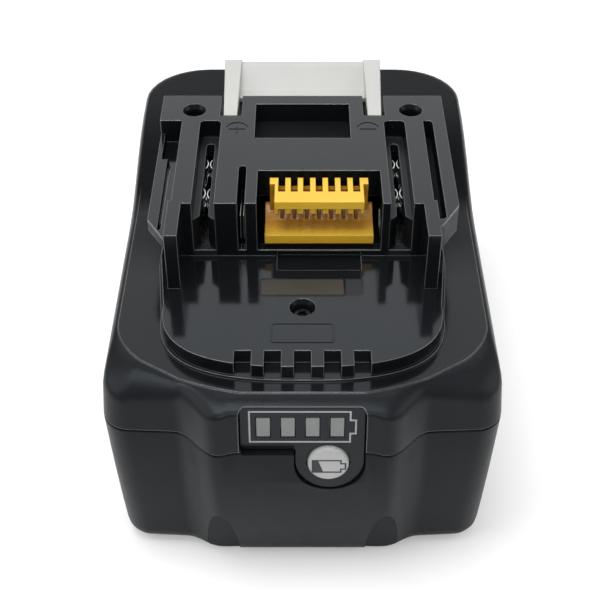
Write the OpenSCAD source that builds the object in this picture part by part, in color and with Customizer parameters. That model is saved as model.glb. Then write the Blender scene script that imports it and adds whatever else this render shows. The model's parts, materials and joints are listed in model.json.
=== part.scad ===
// Slide-on power tool battery pack: ten round cells in a two-part case with a slide platform,
// a sprung latch and a charge gauge. Origin at the bottom centre, gauge end at -Y, latch at +Y.

/* [Cells] */
// Diameter of one cell
cell_d = 18.4; // [18:0.1:18.8]
// Length of one cell
cell_l = 65.1; // [64:0.1:66]
// Gap between neighbouring cells
cell_gap = 0.6; // [0.5:0.05:0.8]
// Cells in one layer
cell_cols = 5; // [5:1:5]

/* [Case] */
// Wall of both case halves
wall = 2; // [1.8:0.1:2.2]
// Room between the cell ends and the side walls
side_room = 2.95; // [2.6:0.05:4]
// Distance from the gauge end of the case to the first cell
front_room = 10.9; // [10.8:0.1:12]
// Distance from the last cell to the button end of the case
rear_room = 7.7; // [7.7:0.1:9]
// Room over the cells inside the case
head_room = 3.5; // [3.4:0.1:4.5]
// Height of the lower case, up to the parting line
lower_h = 35.5; // [34.5:0.1:36.5]
// Inset of the side walls at the bottom
side_draft = 1.2; // [0.6:0.1:1.4]
// Inset of the end walls at the bottom
end_draft = 1.9; // [1:0.1:2]
// Radius of the bottom edge
foot_r = 4; // [3:0.1:4.5]
// Corner radius at the gauge end
front_corner = 5.5; // [4.5:0.5:6]
// Corner radius at the button end
rear_corner = 12; // [10:0.5:13]
// Corner radius of the case top at the button end
deck_corner = 15; // [12:0.5:18]
// How far the middle of the gauge end bulges out
bulge_out = 6; // [5:0.1:7]
// Half width of the bulge, at the middle of its flanks
bulge_half = 19.7; // [19:0.1:21]
// Width of one flank of the bulge
bulge_flank = 8.5; // [6:0.5:9]
// Rise of the case top toward the button end
deck_rise = 6.3; // [6:0.1:6.6]

/* [Slide platform] */
// Height of the platform over the case top
platform_h = 16.3; // [16:0.1:18]
// Thickness of the low front plate
apron_t = 3.4; // [3:0.1:4]
// Distance from the gauge end to the low front plate
apron_setback = 9.5; // [9:0.1:11]
// Distance from the gauge end to the face of the terminal block
block_setback = 41.4; // [40:0.1:43]
// Distance from the gauge end to the rear of the platform
platform_end = 81; // [80.5:0.1:82]
// Half width over the slide flanges
flange_half = 30.2; // [29.8:0.1:31]
// Thickness of a slide flange
flange_t = 6; // [5.5:0.1:6.5]
// Half width of the neck between the flanges
neck_half = 25.5; // [25:0.1:25.8]
// Distance between the two power slots
slot_pitch = 38.8; // [38:0.1:39.5]
// Width of a power slot
slot_w = 4.4; // [4:0.1:4.8]
// Depth of a power slot
slot_depth = 4.2; // [3.8:0.1:4.5]
// Width of the blade gap under a slot
blade_w = 1.7; // [1.5:0.1:2]

/* [Latch] */
// Travel of the latch
latch_travel = 4.5; // [4:0.1:4.5]
// Height of the hook over the platform
hook_h = 3.5; // [3:0.1:3.9]
// Half width over the hook's ramps
hook_half = 17.2; // [16.8:0.1:17.4]
// Width of the thumb button
thumb_w = 26; // [22:0.5:28]
// Wire of the latch springs
spring_wire = 0.5; // [0.4:0.05:0.6]
// Outer diameter of the latch springs
spring_d = 3.2; // [3:0.1:3.3]
// Turns of a latch spring
spring_turns = 7; // [5:1:8]

/* [Gauge] */
// Width of the gauge panel
panel_w = 22.8; // [22:0.1:24]
// Height of the gauge panel's upper field
panel_h = 9.8; // [9.4:0.1:10.2]
// Lean of the gauge panel
panel_tilt = 7; // [5:0.2:7.4]
// Diameter of the check button
button_d = 7.6; // [7:0.1:8]
// Travel of the check button
button_travel = 0.6; // [0.4:0.05:0.7]
// Distance between the gauge windows
window_pitch = 4.47; // [4.2:0.01:4.6]
// Width of a gauge window
window_w = 2.75; // [2:0.05:3]
// Height of a gauge window
window_h = 4.6; // [4:0.1:5]

/* [Fits] */
// Gap between fixed parts that are put together
fit_gap = 0.15; // [0.1:0.01:0.2]
// Gap round the parts that move
slide_gap = 0.4; // [0.3:0.05:0.5]

/* [Hidden] */
$fn = 64;
eps = 0.02;

// Cell block
cell_pitch = cell_d + cell_gap;
cells_len = (cell_cols - 1) * cell_pitch + cell_d;
holder_wall = 0.5;
holder_len = 14;
holder_gap = 0.3;
cap_d = 8;
cap_h = 0.8;
strip_w = 10;
strip_t = 0.25;
strip_gap = 0.01;
insulator_t = 0.4;
insulator_in = 1;
cell_base = wall + holder_gap + holder_wall;
cell_z1 = cell_base + cell_d / 2;
cell_z2 = cell_z1 + cell_pitch;
cells_top = cell_z2 + cell_d / 2;
holder_top = cells_top + holder_wall;

// Case envelope
half_w = cell_l / 2 + side_room + wall;
body_l = cells_len + front_room + rear_room;
y_front = -body_l / 2;
y_rear = body_l / 2;
y_side = y_front + bulge_out;
foot_bulge = 3.2;
crest_w = 3.4;
crest_drop = 0.7;
crest_fade = 0.2;
crest_foot = 0.25;
front_sweep = 0.4;
cell_y1 = y_front + front_room + cell_d / 2;
cells_end = cell_y1 + cells_len - cell_d / 2;
floor_z = cells_top + head_room + wall;
deck_z = floor_z + deck_rise;

// Arched recesses at the bottom of the bulge
foot_in = 1.2;
arch_x = 16.2;
arch_out = 3;
arch_in = 3.6;
arch_h = 17;
arch_depth = 2.1;
arch_back = 2;
arch_steps = 18;

// Tongue and groove at the parting line
tongue_t = 0.9;
tongue_h = 1.4;
seam_bevel = 0.3;

// Case top: flat along the slide, then rising to the deck at the button end
deck_y0 = y_front + 58.5;
deck_y1 = y_front + 92.5;
shoulder_in = 2.1;
shoulder_h = 4.6;
bulge_shoulder = 1.6;
rear_in = 4;
edge_step = 0.25;
edge_y0 = y_front + 60;
edge_fade = 18;
dee_front = 5.2;
dee_len = 20;
crown_lean = 1.2;

// Slide platform heights and places
top_z = floor_z + platform_h;
apron_z = floor_z + apron_t;
flange_z = top_z - flange_t;
apron_y = y_front + apron_setback;
block_y = y_front + block_setback;
plat_y = y_front + platform_end;
apron_half = 28.3;
apron_front_half = 26.6;
apron_round = 17;
apron_power = 2.7;
apron_wall = 1.5;
ledge_w = 0.6;
ledge_h = 0.5;
notch_count = 5;
notch_pitch = 5.46;
notch_w = 3.1;
notch_l = 4.2;
stop_len = 4.5;
flange_cut = 3.9;
flange_lead = 0.6;
flange_end = 7.2;
rail_mid = (flange_half + neck_half) / 2;
channel_x = rail_mid - 1.75;
channel_w = 2.8;
channel_depth = 4.4;
low_drop = 3.4;
low_slot_x = rail_mid - 0.15;
low_slot_w = 0.7;
low_slot_depth = 1.4;
low_pocket_y = 20.1;
low_step_y = 16.2;
low_rim = 0.9;
low_floor = 0.7;

// Terminal block
slot_z = top_z - slot_depth;
block_roof = 2;
slot_corner = 1;
cavity_z = slot_z - block_roof;
block_half = 23.55;
rail_end = 10.2;
slot_y1 = block_y + 29.6;
blade_end = 2.6;
charge_x = -12;
charge_y1 = block_y + 12.8;
charge_w = 1.55;
charge_base = 1.6;
pocket_x = 3.3;
pocket_w = 24.5;
pocket_l = 11.1;
pocket_floor = apron_z + 1.4;
recess_w = 16.6;
recess_l = 4.6;
recess_depth = 0.6;
comb_y0 = block_y + 1.7;
comb_bar = 3.6;
comb_z1 = top_z - 1;
comb_z0 = comb_z1 - 1.7;
comb_in = 2;
leg_w = 1;
leg_l = 2.2;
back_step = 0.3;
comb_step = 0.6;
rib_h = 1.3;
rib_w = 1.1;
lip_y0 = block_y + 0.6;
lip_z0 = pocket_floor + 1.2;
lip_z1 = lip_z0 + 1.95;
lip_rise = 1.4;
ramp_y = comb_y0 + comb_bar;
housing_t = 1.2;
housing_in = 0.3;
housing_y1 = block_y + pocket_l - 1.1;
pin_count = 7;
pin_pitch = 2.47;
pin_gap = pin_pitch - rib_w;
pin_t = 0.5;
pin_l = 2.4;
pin_y0 = housing_y1 - housing_t - 0.4 - pin_l;
pin_top = comb_z0 - 2.2;
keeper_w = 20;
keeper_y0 = block_y + 22.9;
keeper_y1 = block_y + 36.2;
keeper_depth = 4.6;

// Screws
screw_x = 23.17;
screw_rear_y = plat_y - 5.85;
screw_front_y = apron_y + 16.2;
screw_head_d = 3.2;
screw_head_h = 1.3;
screw_d = 2.2;
screw_rim_d = 5.1;
screw_cone = 1.3;
socket_d = 1.5;
boss_d = 5.8;
boss_top_rear = apron_z - wall;
screw_seat_rear = boss_top_rear + wall;
boss_top_front = floor_z - 0.6;
screw_seat_front = boss_top_front + 1;

// Boards
carrier_z = holder_top + 0.1;
carrier_t = 1.2;
board_z = carrier_z + carrier_t;
board_t = 1.6;
board_top = board_z + board_t;
fork_half = 3.2;
fork_y0 = block_y + wall + 1;
fork_len = 21;
fork_t = 0.8;
fork_knee = 3;
fork_top = slot_z - 0.4;
tip_gap = 0.1;
tip_t = 0.24;
tip_bow = 0.42;
tip_l = 3.2;
tip_steps = 8;
fork_pairs = 2;
fork_first = 6.6;
fork_pitch = 10.5;
board_half = slot_pitch / 2 + fork_half + 0.2;
board_y0 = block_y - 10;
board_y1 = block_y + 30;
board_hole_x = 16;
switch_pitch = 6;
board_hole_in = 3;
lead_x0 = -10;
lead_x1 = -4;
lead_t = 0.3;
lead_gap = 0.05;
carrier_front = 5;
carrier_gap = 12;
peg_d = 2.1;
screw_foot = carrier_z + 0.8;
lead_lap = 5;
carrier_rear = 3.6;

// Gauge, drawn upright and then leaned with its panel about the parting line
panel_z1 = floor_z - 0.8;
panel_z0 = panel_z1 - panel_h;
panel_t = 1.1;
panel_r = 1;
panel_y = y_front + 2.15;
panel_back = panel_y + panel_t;
cutout_back = panel_back + 1.4;
lobe_d = button_d + 5.2;
lobe_x = panel_w / 2 - lobe_d / 2;
button_x = lobe_x - 0.25;
button_z = panel_z0 - button_d / 2 + 0.9;
button_proud = 0.9;
button_bevel = 0.4;
button_lip = 0.7;
gauge_board_y = panel_y + 4.2;
gauge_board_t = 1;
gauge_board_w = 24;
gauge_board_z0 = button_z - lobe_d / 2;
window_z = panel_z1 - panel_h / 2 + 0.35;
window_x0 = -0.4 - 1.5 * window_pitch;
lens_bar = 1.2;
lamp_w = 1.6;
lamp_h = 1;
gauge_board_z1 = window_z + lamp_h / 2 + 0.2;
switch_w = 4;
switch_t = 0.9;
plunger_d = 2.2;
plunger_h = 0.4;
switch_tip_y = gauge_board_y - switch_t - plunger_h;
grip_w = 3;
grip_t = 1;

// Latch
ramp_front_w = 2.8;
ramp_rear_w = 3.8;
ramp_y0 = plat_y - 7.7;
hook_y1 = plat_y + 9.5;
hook_bar_y = plat_y + slide_gap;
arm_notch = 7;
shelf_t = 1.8;
shelf_z = carrier_z + latch_travel + slide_gap + 0.2;
stem_t = 3.5;
spring_x = 9;
pad_w = 5.2;
pad_y0 = cells_end + holder_wall + 0.5;
pad_l = 3.8;
spring_y = pad_y0 + spring_d / 2 + 0.05;
spring_top = shelf_z - 5.2;
spring_base = spring_top - 14;
thumb_z0 = lower_h + tongue_h + latch_travel + slide_gap;
thumb_z1 = deck_z - 2;
thumb_y0 = y_rear - wall - 1.2;
thumb_y1 = y_rear - 0.6;
skirt_t = 0.7;
skirt_lap = 0.9;
skirt_y1 = y_rear - wall - slide_gap;

arc_steps = 9;
side_steps = 12;
flank_steps = 10;
crest_steps = 4;
shoulder_steps = 7;
foot_steps = 5;
wall_steps = 4;

function lerp(a, b, t) = a + (b - a) * t;
function clamp01(t) = max(0, min(1, t));
function ease(t) = (1 - cos(180 * clamp01(t))) / 2;
function top_at(y) = floor_z + deck_rise * ease((y - deck_y0) / (deck_y1 - deck_y0));
function step_at(y) = edge_step * (1 - ease((y - edge_y0) / edge_fade));

// Half outline of the case, from the middle of the button end along +X to the gauge end
function half_outline(hw, side, rear, bulge, rf, rr, drop) = concat(
  [for (i = [0 : arc_steps]) let (a = 90 - 90 * i / arc_steps)
    [hw - rr + rr * cos(a), rear - rr + rr * sin(a)]],
  [for (i = [1 : side_steps - 1])
    [hw, lerp(rear - rr, side + front_sweep + rf, i / side_steps)]],
  [for (i = [0 : arc_steps]) let (a = -90 * i / arc_steps)
    [hw - rf + rf * cos(a), side + front_sweep + rf + rf * sin(a)]],
  [for (i = [0 : flank_steps]) let (t = i / flank_steps)
    [bulge_half + bulge_flank * (0.5 - t), side - bulge * ease(t)]],
  [for (i = [1 : crest_steps]) let (t = i / crest_steps)
    [bulge_half - bulge_flank / 2 - crest_w * t, side - bulge + drop * ease(t)]]
);

// Half outline of the flat top: straight sides and a D-shaped end, point for point with the case
function half_top(hw, front, rear, rr) = concat(
  [for (i = [0 : arc_steps]) let (a = 90 - 90 * i / arc_steps)
    [hw - rr + rr * cos(a), rear - rr + rr * sin(a)]],
  [for (i = [1 : side_steps - 1]) [hw, lerp(rear - rr, front + dee_len, i / side_steps)]],
  [for (p = half_front_x()) [hw * p, front + dee_len * (1 - sqrt(1 - p * p))]]
);
function half_front_x() = let (h = case_half(0))
  [for (i = [arc_steps + side_steps : len(h) - 1]) min(1, h[i].x / half_w)];

function both_halves(h) = concat(h, [for (i = [len(h) - 1 : -1 : 0]) [-h[i].x, h[i].y]]);
function flat_ring(h, z) = [for (p = both_halves(h)) [p.x, p.y, z]];
function top_ring(h, drop) = [for (p = both_halves(h)) [p.x, p.y, top_at(p.y) - drop - step_at(p.y)]];
// Ring under the shoulder, which is low on the bulge and full along the sides
function shoulder_at(p) = p.y > y_side + front_corner ? shoulder_h
  : lerp(bulge_shoulder, shoulder_h, ease((abs(p.x) - bulge_half + bulge_flank) / (2 * bulge_flank)));
function crown_ring(h, drop) = [for (p = both_halves(h))
  [p.x, p.y, top_at(p.y) - drop - step_at(p.y) - shoulder_at(p)]];

// Case outline from the parting line (0) down to the bottom (1), moved in by a given amount;
// back is the extra thickness of the bulge at the bottom, behind its arches
function wall_half(t, inset, back = 0) = let (q = t * t) half_outline(
  half_w - side_draft * t - inset, y_side + end_draft * q + inset, y_rear - end_draft / 2 * t - inset,
  lerp(bulge_out, foot_bulge - back, q), max(0.6, front_corner - inset), max(1, rear_corner - inset),
  crest_drop * max(crest_foot, 1 - t / crest_fade)
);
function case_half(inset) = wall_half(0, inset);
function foot_half(inset, back = 0) = wall_half(1, inset, back);
function wall_ring(t, inset, back = 0) = flat_ring(wall_half(t, inset, back), lerp(lower_h, foot_r, t));
// Place of the bulge's face at a height
function face_at(z) = let (t = clamp01((lower_h - z) / (lower_h - foot_r)), q = t * t)
  y_side + end_draft * q - lerp(bulge_out, foot_bulge, q);
// Case outline under the shoulder of the upper half
function crown_half(inset) = half_outline(
  half_w - 0.3 - inset, y_side + crown_lean + inset, y_rear - 0.4 - inset, bulge_out,
  max(0.6, front_corner - inset), max(1, rear_corner - inset), crest_drop
);
function dee_half(inset) = half_top(
  half_w - shoulder_in - inset, y_front + dee_front + inset, y_rear - rear_in - inset,
  max(1, deck_corner - inset)
);

// Solid between closed rings of equal length; the first and last rings are closed across their width
module ring_solid(rings) {
  n = len(rings[0]);
  h = n / 2;
  last = (len(rings) - 1) * n;
  points = [for (r = rings) each r];
  sides = [for (k = [0 : len(rings) - 2]) for (i = [0 : n - 1])
    let (a = k * n + i, b = k * n + (i + 1) % n)
    each [[a, b, b + n], [a, b + n, a + n]]];
  first_cap = [for (i = [0 : h - 2]) each [
    [i, n - 1 - i, n - 2 - i], [i, n - 2 - i, i + 1]]];
  last_cap = [for (i = [0 : h - 2]) each [
    [last + i, last + n - 2 - i, last + n - 1 - i], [last + i, last + i + 1, last + n - 2 - i]]];
  polyhedron(points, concat(sides, first_cap, last_cap), convexity = 6);
}

// Shapes used by several parts
module box(x0, x1, y0, y1, z0, z1) {
  translate([x0, y0, z0]) cube([x1 - x0, y1 - y0, z1 - z0]);
}
module along_x(x0, x1) {
  translate([x0, 0, 0]) rotate([90, 0, 90]) linear_extrude(x1 - x0) children();
}
module along_y(y0, y1) {
  translate([0, y1, 0]) rotate([90, 0, 0]) linear_extrude(y1 - y0) children();
}
// Slot along Y with rounded corners; without a corner radius its ends are half circles
module slot(x, w, y0, y1, z0, z1, corner = 0) {
  r = corner > 0 ? corner : w / 2;
  translate([x, 0, z0]) linear_extrude(z1 - z0) {
    for (cx = [r - w / 2, w / 2 - r], cy = [y0 + r, y1 - r]) translate([cx, cy]) circle(r = r);
    translate([-w / 2, y0 + r]) square([w, y1 - y0 - 2 * r]);
    if (corner > 0) translate([r - w / 2, y0]) square([w - 2 * r, y1 - y0]);
  }
}
module both_sides() {
  children();
  mirror([1, 0, 0]) children();
}
module screw_places() {
  for (s = [-1, 1]) translate([s * screw_x, screw_rear_y, 0]) children(0);
  translate([0, screw_front_y, 0]) children(1);
}

module on_panel() {
  translate([0, panel_y, lower_h]) rotate([-panel_tilt, 0, 0]) translate([0, -panel_y, -lower_h]) children();
}
function leaned(p) = [
  panel_y + (p.x - panel_y) * cos(panel_tilt) + (p.y - lower_h) * sin(panel_tilt),
  lower_h - (p.x - panel_y) * sin(panel_tilt) + (p.y - lower_h) * cos(panel_tilt)];
// Front view of the gauge panel with its round lobe for the button
module panel_shape(grow = 0) {
  w = panel_w / 2 + grow;
  r = panel_r + grow;
  for (x = [-w + r, w - r], z = [panel_z0 - grow + r, panel_z1 + grow - r]) translate([x, z]) circle(r = r);
  translate([-w, panel_z0 - grow + r]) square([2 * w, panel_h + 2 * (grow - r)]);
  translate([-w + r, panel_z0 - grow]) square([2 * (w - r), panel_h + 2 * grow]);
  translate([lobe_x, button_z]) circle(d = lobe_d + 2 * grow);
  translate([lobe_x - lobe_d / 2 - grow, button_z])
    square([lobe_d + 2 * grow, panel_z0 - button_z + panel_r]);
}

module lower_case() {
  color("#1b1c1f") difference() {
    union() {
      ring_solid(concat(
        [for (i = [0 : foot_steps]) let (a = 90 * i / foot_steps)
          flat_ring(foot_half(foot_r * (1 - sin(a))), foot_r * (1 - cos(a)))],
        [for (i = [wall_steps - 1 : -1 : 1]) wall_ring(i / wall_steps, 0)],
        [flat_ring(case_half(0), lower_h - seam_bevel)],
        [flat_ring(case_half(seam_bevel), lower_h)],
        [flat_ring(case_half(wall - tongue_t), lower_h)],
        [flat_ring(case_half(wall - tongue_t), lower_h + tongue_h)],
        [flat_ring(case_half(wall), lower_h + tongue_h)],
        [for (i = [1 : wall_steps]) wall_ring(i / wall_steps, wall, arch_back)],
        [flat_ring(foot_half(wall + foot_in, arch_back), wall)]
      ));
      spring_ledges();
      gauge_board_grips();
    }
    foot_arches();
    gauge_cutout();
  }
}
// Two arches cut into the bulge, with a back that leans like its face
module foot_arches() {
  lean = atan((face_at(0) - face_at(arch_h)) / arch_h);
  curve = [for (i = [0 : arch_steps]) let (a = 180 * i / arch_steps)
    [arch_x + (a < 90 ? arch_out : arch_in) * cos(a), arch_h * sin(a)]];
  both_sides() translate([0, face_at(0) + arch_depth, 0]) rotate([lean, 0, 0]) along_y(-bulge_out, 0)
    polygon(concat(curve, [[arch_x - arch_in, -foot_r], [arch_x + arch_out, -foot_r]]));
}
// Ledges on the rear wall that carry the latch springs, with a peg inside each spring
module spring_ledges() {
  both_sides() {
    box(spring_x - pad_w / 2, spring_x + pad_w / 2, pad_y0, y_rear - wall,
      spring_base - 3, spring_base);
    translate([spring_x, spring_y, spring_base - eps])
      cylinder(d = spring_d - 2 * spring_wire - 0.6, h = 2.5);
  }
}
// Posts behind the gauge with a groove for the edge of its board
module gauge_board_grips() {
  x = gauge_board_w / 2;
  both_sides() difference() {
    on_panel() difference() {
      box(x - grip_w / 2, x + grip_w / 2, panel_back - 0.1, gauge_board_y + gauge_board_t + grip_t,
        gauge_board_z0 - grip_w / 2, lower_h);
      box(0, x + fit_gap, gauge_board_y - fit_gap, gauge_board_y + gauge_board_t + fit_gap,
        gauge_board_z0 - fit_gap, lower_h + 1);
    }
    box(0, half_w, y_front - 1, y_rear, lower_h, top_z);
  }
}
module gauge_cutout() {
  on_panel() along_y(y_front - 3, cutout_back) panel_shape(fit_gap);
}

module upper_case() {
  color("#17181b") difference() {
    union() {
      upper_shell();
      platform_body();
      screw_columns();
    }
    platform_hollows();
    terminal_openings();
    latch_openings();
    screw_holes();
    gauge_cutout();
  }
}
module upper_shell() {
  ring_solid(concat(
    [top_ring(dee_half(wall), wall)],
    [crown_ring(crown_half(wall), 0.6)],
    [flat_ring(case_half(wall), lower_h + tongue_h + fit_gap)],
    [flat_ring(case_half(wall - tongue_t - fit_gap), lower_h + tongue_h + fit_gap)],
    [flat_ring(case_half(wall - tongue_t - fit_gap), lower_h)],
    [flat_ring(case_half(seam_bevel), lower_h)],
    [flat_ring(case_half(0), lower_h + seam_bevel)],
    [for (i = [0 : shoulder_steps]) shoulder_ring(90 * i / shoulder_steps)],
    [[for (p = both_halves(dee_half(0.12))) [p.x, p.y, top_at(p.y)]]]
  ));
}
// One ring of the rounded shoulder, from the side wall (0) up to the D-shaped edge (90)
function shoulder_ring(a) =
  let (low = crown_ring(crown_half(0), 0), high = top_ring(dee_half(0), 0))
  [for (i = [0 : len(low) - 1]) [
    lerp(low[i].x, high[i].x, 1 - cos(a)),
    lerp(low[i].y, high[i].y, 1 - cos(a)),
    lerp(low[i].z, high[i].z, sin(a))]];

// Plan of the platform's base: straight sides, a slight taper, then a broad rounded front
module apron_plan(inset = 0) {
  taper_y = apron_y + apron_round;
  a = apron_front_half - inset;
  b = apron_round - inset;
  right = [for (i = [0 : 24]) let (x = a * cos(90 * i / 24))
    [x, taper_y - b * pow(max(0, 1 - pow(x / a, apron_power)), 1 / apron_power)]];
  left = [for (i = [23 : -1 : 0]) [-right[i].x, right[i].y]];
  polygon(concat(
    [[-apron_half + inset, plat_y - inset], [apron_half - inset, plat_y - inset],
     [apron_half - inset, block_y]],
    right, left,
    [[-apron_half + inset, block_y]]
  ));
}
module platform_body() {
  difference() {
    translate([0, 0, floor_z - wall]) linear_extrude(apron_t + wall) apron_plan();
    grip_notches();
  }
  translate([0, 0, floor_z - wall]) linear_extrude(wall + ledge_h) apron_plan(-ledge_w);
  box(-neck_half, neck_half, block_y, plat_y, apron_z - 1, top_z);
  box(-flange_half, flange_half, plat_y - stop_len, plat_y, floor_z, top_z);
  right_flange();
  left_flange();
  rail_ends();
}
// Row of notches in the front edge of the low plate
module grip_notches() {
  half = (notch_count - 1) / 2;
  for (i = [-half : half])
    translate([i * notch_pitch - notch_w / 2, apron_y - 1, floor_z + ledge_h])
      cube([notch_w, notch_l + 1, apron_t + 1]);
}
// Full-height flange with a channel along it
module right_flange() {
  difference() {
    translate([0, 0, flange_z]) linear_extrude(flange_t) polygon([
      [neck_half - wall, plat_y], [flange_half, plat_y], [flange_half, block_y - flange_lead],
      [flange_half - flange_cut, block_y - flange_end], [neck_half - wall, block_y - flange_end]]);
    slot(channel_x, channel_w, block_y - 5, slot_y1, top_z - channel_depth, top_z + 1, slot_corner);
  }
}
// Low flange that leaves only one way round for the pack on the tool
module left_flange() {
  difference() {
    translate([0, 0, flange_z]) linear_extrude(flange_t - low_drop) polygon([
      [-neck_half + wall, plat_y], [-flange_half, plat_y], [-flange_half, block_y - flange_lead],
      [-flange_half + flange_cut, block_y - flange_end], [-neck_half + wall, block_y - flange_end]]);
    slot(-low_slot_x, low_slot_w, block_y - 4, block_y + low_pocket_y,
      top_z - low_drop - low_slot_depth, top_z);
    box(-flange_half + low_rim, -neck_half, block_y + low_pocket_y, slot_y1, flange_z + low_floor, top_z);
    box(-low_slot_x, -neck_half, block_y + low_step_y, slot_y1, flange_z + low_floor, top_z);
  }
  box(-flange_half, -neck_half, slot_y1, plat_y, flange_z, top_z);
}
// Side walls of the block, carried on past its front face
module rail_ends() {
  both_sides() box(block_half, neck_half + 0.6, block_y - rail_end, block_y + 1, apron_z - 1, top_z);
}
module screw_columns() {
  screw_places() {
    translate([0, 0, boss_top_rear]) cylinder(d = boss_d, h = top_z - boss_top_rear - 1);
    translate([0, 0, boss_top_front]) cylinder(d = boss_d + 1, h = apron_z - boss_top_front - 1);
  }
}
module platform_hollows() {
  difference() {
    translate([0, 0, floor_z - wall - 3]) linear_extrude(apron_t + 3) intersection() {
      apron_plan(apron_wall);
      translate([-half_w, apron_y + notch_l + wall]) square([2 * half_w, body_l]);
    }
    screw_columns();
  }
  notch_y = ramp_y0 - slide_gap - wall;
  difference() {
    union() {
      box(-neck_half + wall, neck_half - wall, block_y + wall, notch_y, apron_z - wall - 1, cavity_z);
      box(-neck_half + wall, neck_half - wall, notch_y - eps, plat_y - wall, apron_z - wall - 1,
        top_z - arm_notch - wall);
    }
    screw_columns();
  }
}
module terminal_openings() {
  for (s = [-1, 1]) power_slot(s * slot_pitch / 2);
  slot(charge_x, charge_w, block_y - 2, charge_y1, cavity_z - 1, top_z + 1);
  box(charge_x - charge_w / 2, charge_x + charge_w / 2, block_y - 1, block_y + wall + 1, pocket_floor,
    top_z + 1);
  box(pocket_x - pocket_w / 2, pocket_x + pocket_w / 2, block_y - 1, block_y + pocket_l, pocket_floor,
    top_z + 1);
  box(pocket_x - pocket_w / 2 + 1, pocket_x + pocket_w / 2 - 1, block_y + wall, block_y + pocket_l,
    apron_z - 2 * wall, top_z);
  connector_recess();
}
// Wide guide slot with the blade gap in its floor, open at the block's face
module power_slot(x) {
  slot(x, slot_w, block_y - 4, slot_y1, slot_z, top_z + 1, slot_corner);
  slot(x, blade_w, block_y - 2, slot_y1 - blade_end, cavity_z - 1, slot_z + 1);
  box(x - blade_w / 2, x + blade_w / 2, block_y - 1, block_y + wall + 1, pocket_floor, slot_z + 1);
  slot_funnel(x);
}
// Funnel at the face of a power slot
module slot_funnel(x) {
  translate([x, block_y, pocket_floor]) linear_extrude(top_z - pocket_floor + 1)
    polygon([[-slot_w / 2, -1], [slot_w / 2, -1], [slot_w / 2, 0.2], [blade_w / 2, 1.6],
      [-blade_w / 2, 1.6], [-slot_w / 2, 0.2]]);
}
// Shallow recess in the low plate, under the connector
module connector_recess() {
  box(pocket_x - recess_w / 2, pocket_x + recess_w / 2, block_y - recess_l, block_y + 1,
    apron_z - recess_depth, apron_z + 1);
}
module latch_openings() {
  g = slide_gap;
  box(-keeper_w / 2, keeper_w / 2, keeper_y0, keeper_y1, top_z - keeper_depth, top_z + 1);
  both_sides() box(hook_half - ramp_rear_w - g, hook_half + g, ramp_y0 - g, plat_y + 1,
    top_z - arm_notch, top_z + 1);
  box(-hook_half - g, hook_half + g, plat_y - eps, hook_y1 + g, floor_z - 2 * wall, top_z + 1);
  box(-thumb_w / 2 - g, thumb_w / 2 + g, thumb_y0 - g, y_rear + 1, thumb_z0 - latch_travel - g,
    deck_z + 1);
  box(-thumb_w / 2 - g, thumb_w / 2 + g, hook_y1, thumb_y0, shelf_z - latch_travel - g,
    shelf_z + shelf_t + g);
}
module screw_holes() {
  screw_places() {
    screw_hole(screw_seat_rear, boss_top_rear, top_z);
    screw_hole(screw_seat_front, boss_top_front, apron_z);
  }
}
module screw_hole(seat, foot, rim) {
  bore = screw_head_d + 2 * fit_gap;
  translate([0, 0, seat]) cylinder(d = bore, h = rim - seat + 1);
  translate([0, 0, rim - screw_cone]) cylinder(d1 = bore, d2 = screw_rim_d, h = screw_cone + eps);
  translate([0, 0, foot - 1]) cylinder(d = screw_d + 2 * fit_gap, h = seat - foot + 2);
}

// White hook with two entry ramps, carried by a stem, a shelf and the thumb button
module latch() {
  z1 = top_z + hook_h;
  color("#d8d8d4") union() {
    both_sides() intersection() {
      along_x(0, hook_half + 1) polygon([
        [ramp_y0, top_z - arm_notch + latch_travel + 1], [ramp_y0, top_z - 0.1], [hook_y1 - 1, z1],
        [hook_y1, z1], [hook_y1, flange_z], [plat_y + slide_gap, flange_z],
        [plat_y + slide_gap, top_z - arm_notch + latch_travel + 1]]);
      translate([0, 0, flange_z - 1]) linear_extrude(z1 - flange_z + 2) polygon([
        [hook_half - 0.4, ramp_y0 - 1], [hook_half, hook_y1 + 1],
        [hook_half - ramp_rear_w, hook_y1 + 1], [hook_half - 0.4 - ramp_front_w, ramp_y0 - 1]]);
    }
    along_x(-hook_half + 1, hook_half - 1) polygon([
      [hook_bar_y + 0.4, top_z - 2.2], [hook_bar_y, top_z - 1.8], [hook_bar_y, top_z - 0.8],
      [hook_bar_y + 2.2, top_z - 0.7], [hook_bar_y + 3.2, top_z - 0.3], [hook_y1 - 1.8, z1 - 0.5],
      [hook_y1, z1 - 0.5], [hook_y1, flange_z], [hook_y1 - stem_t, flange_z],
      [hook_y1 - stem_t, top_z - 2.2]]);
    box(-hook_half + 1, hook_half - 1, hook_y1 - stem_t, hook_y1, shelf_z, flange_z + 1);
    box(-thumb_w / 2 + 1, thumb_w / 2 - 1, hook_y1 - 1, thumb_y0 + 1, shelf_z, shelf_z + shelf_t);
    thumb_button();
    spring_pads();
  }
}
module thumb_button() {
  box(-thumb_w / 2, thumb_w / 2, thumb_y0, thumb_y1 - 0.6, thumb_z0, thumb_z1);
  box(-thumb_w / 2, thumb_w / 2, skirt_y1 - skirt_t, skirt_y1, thumb_z0 - latch_travel - skirt_lap,
    thumb_z0 + 1);
  for (i = [0 : 3]) let (z = lerp(thumb_z0 + 0.8, thumb_z1 - 1.8, i / 3))
    box(-thumb_w / 2 + 1.5, thumb_w / 2 - 1.5, thumb_y1 - 1, thumb_y1, z, z + 0.9);
}
module spring_pads() {
  both_sides() {
    box(spring_x - pad_w / 2, spring_x + pad_w / 2, pad_y0, pad_y0 + pad_l, spring_top, shelf_z + eps);
    translate([spring_x, spring_y, spring_top - 1.5])
      cylinder(d = spring_d - 2 * spring_wire - 0.6, h = 1.5 + eps);
  }
}

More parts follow.
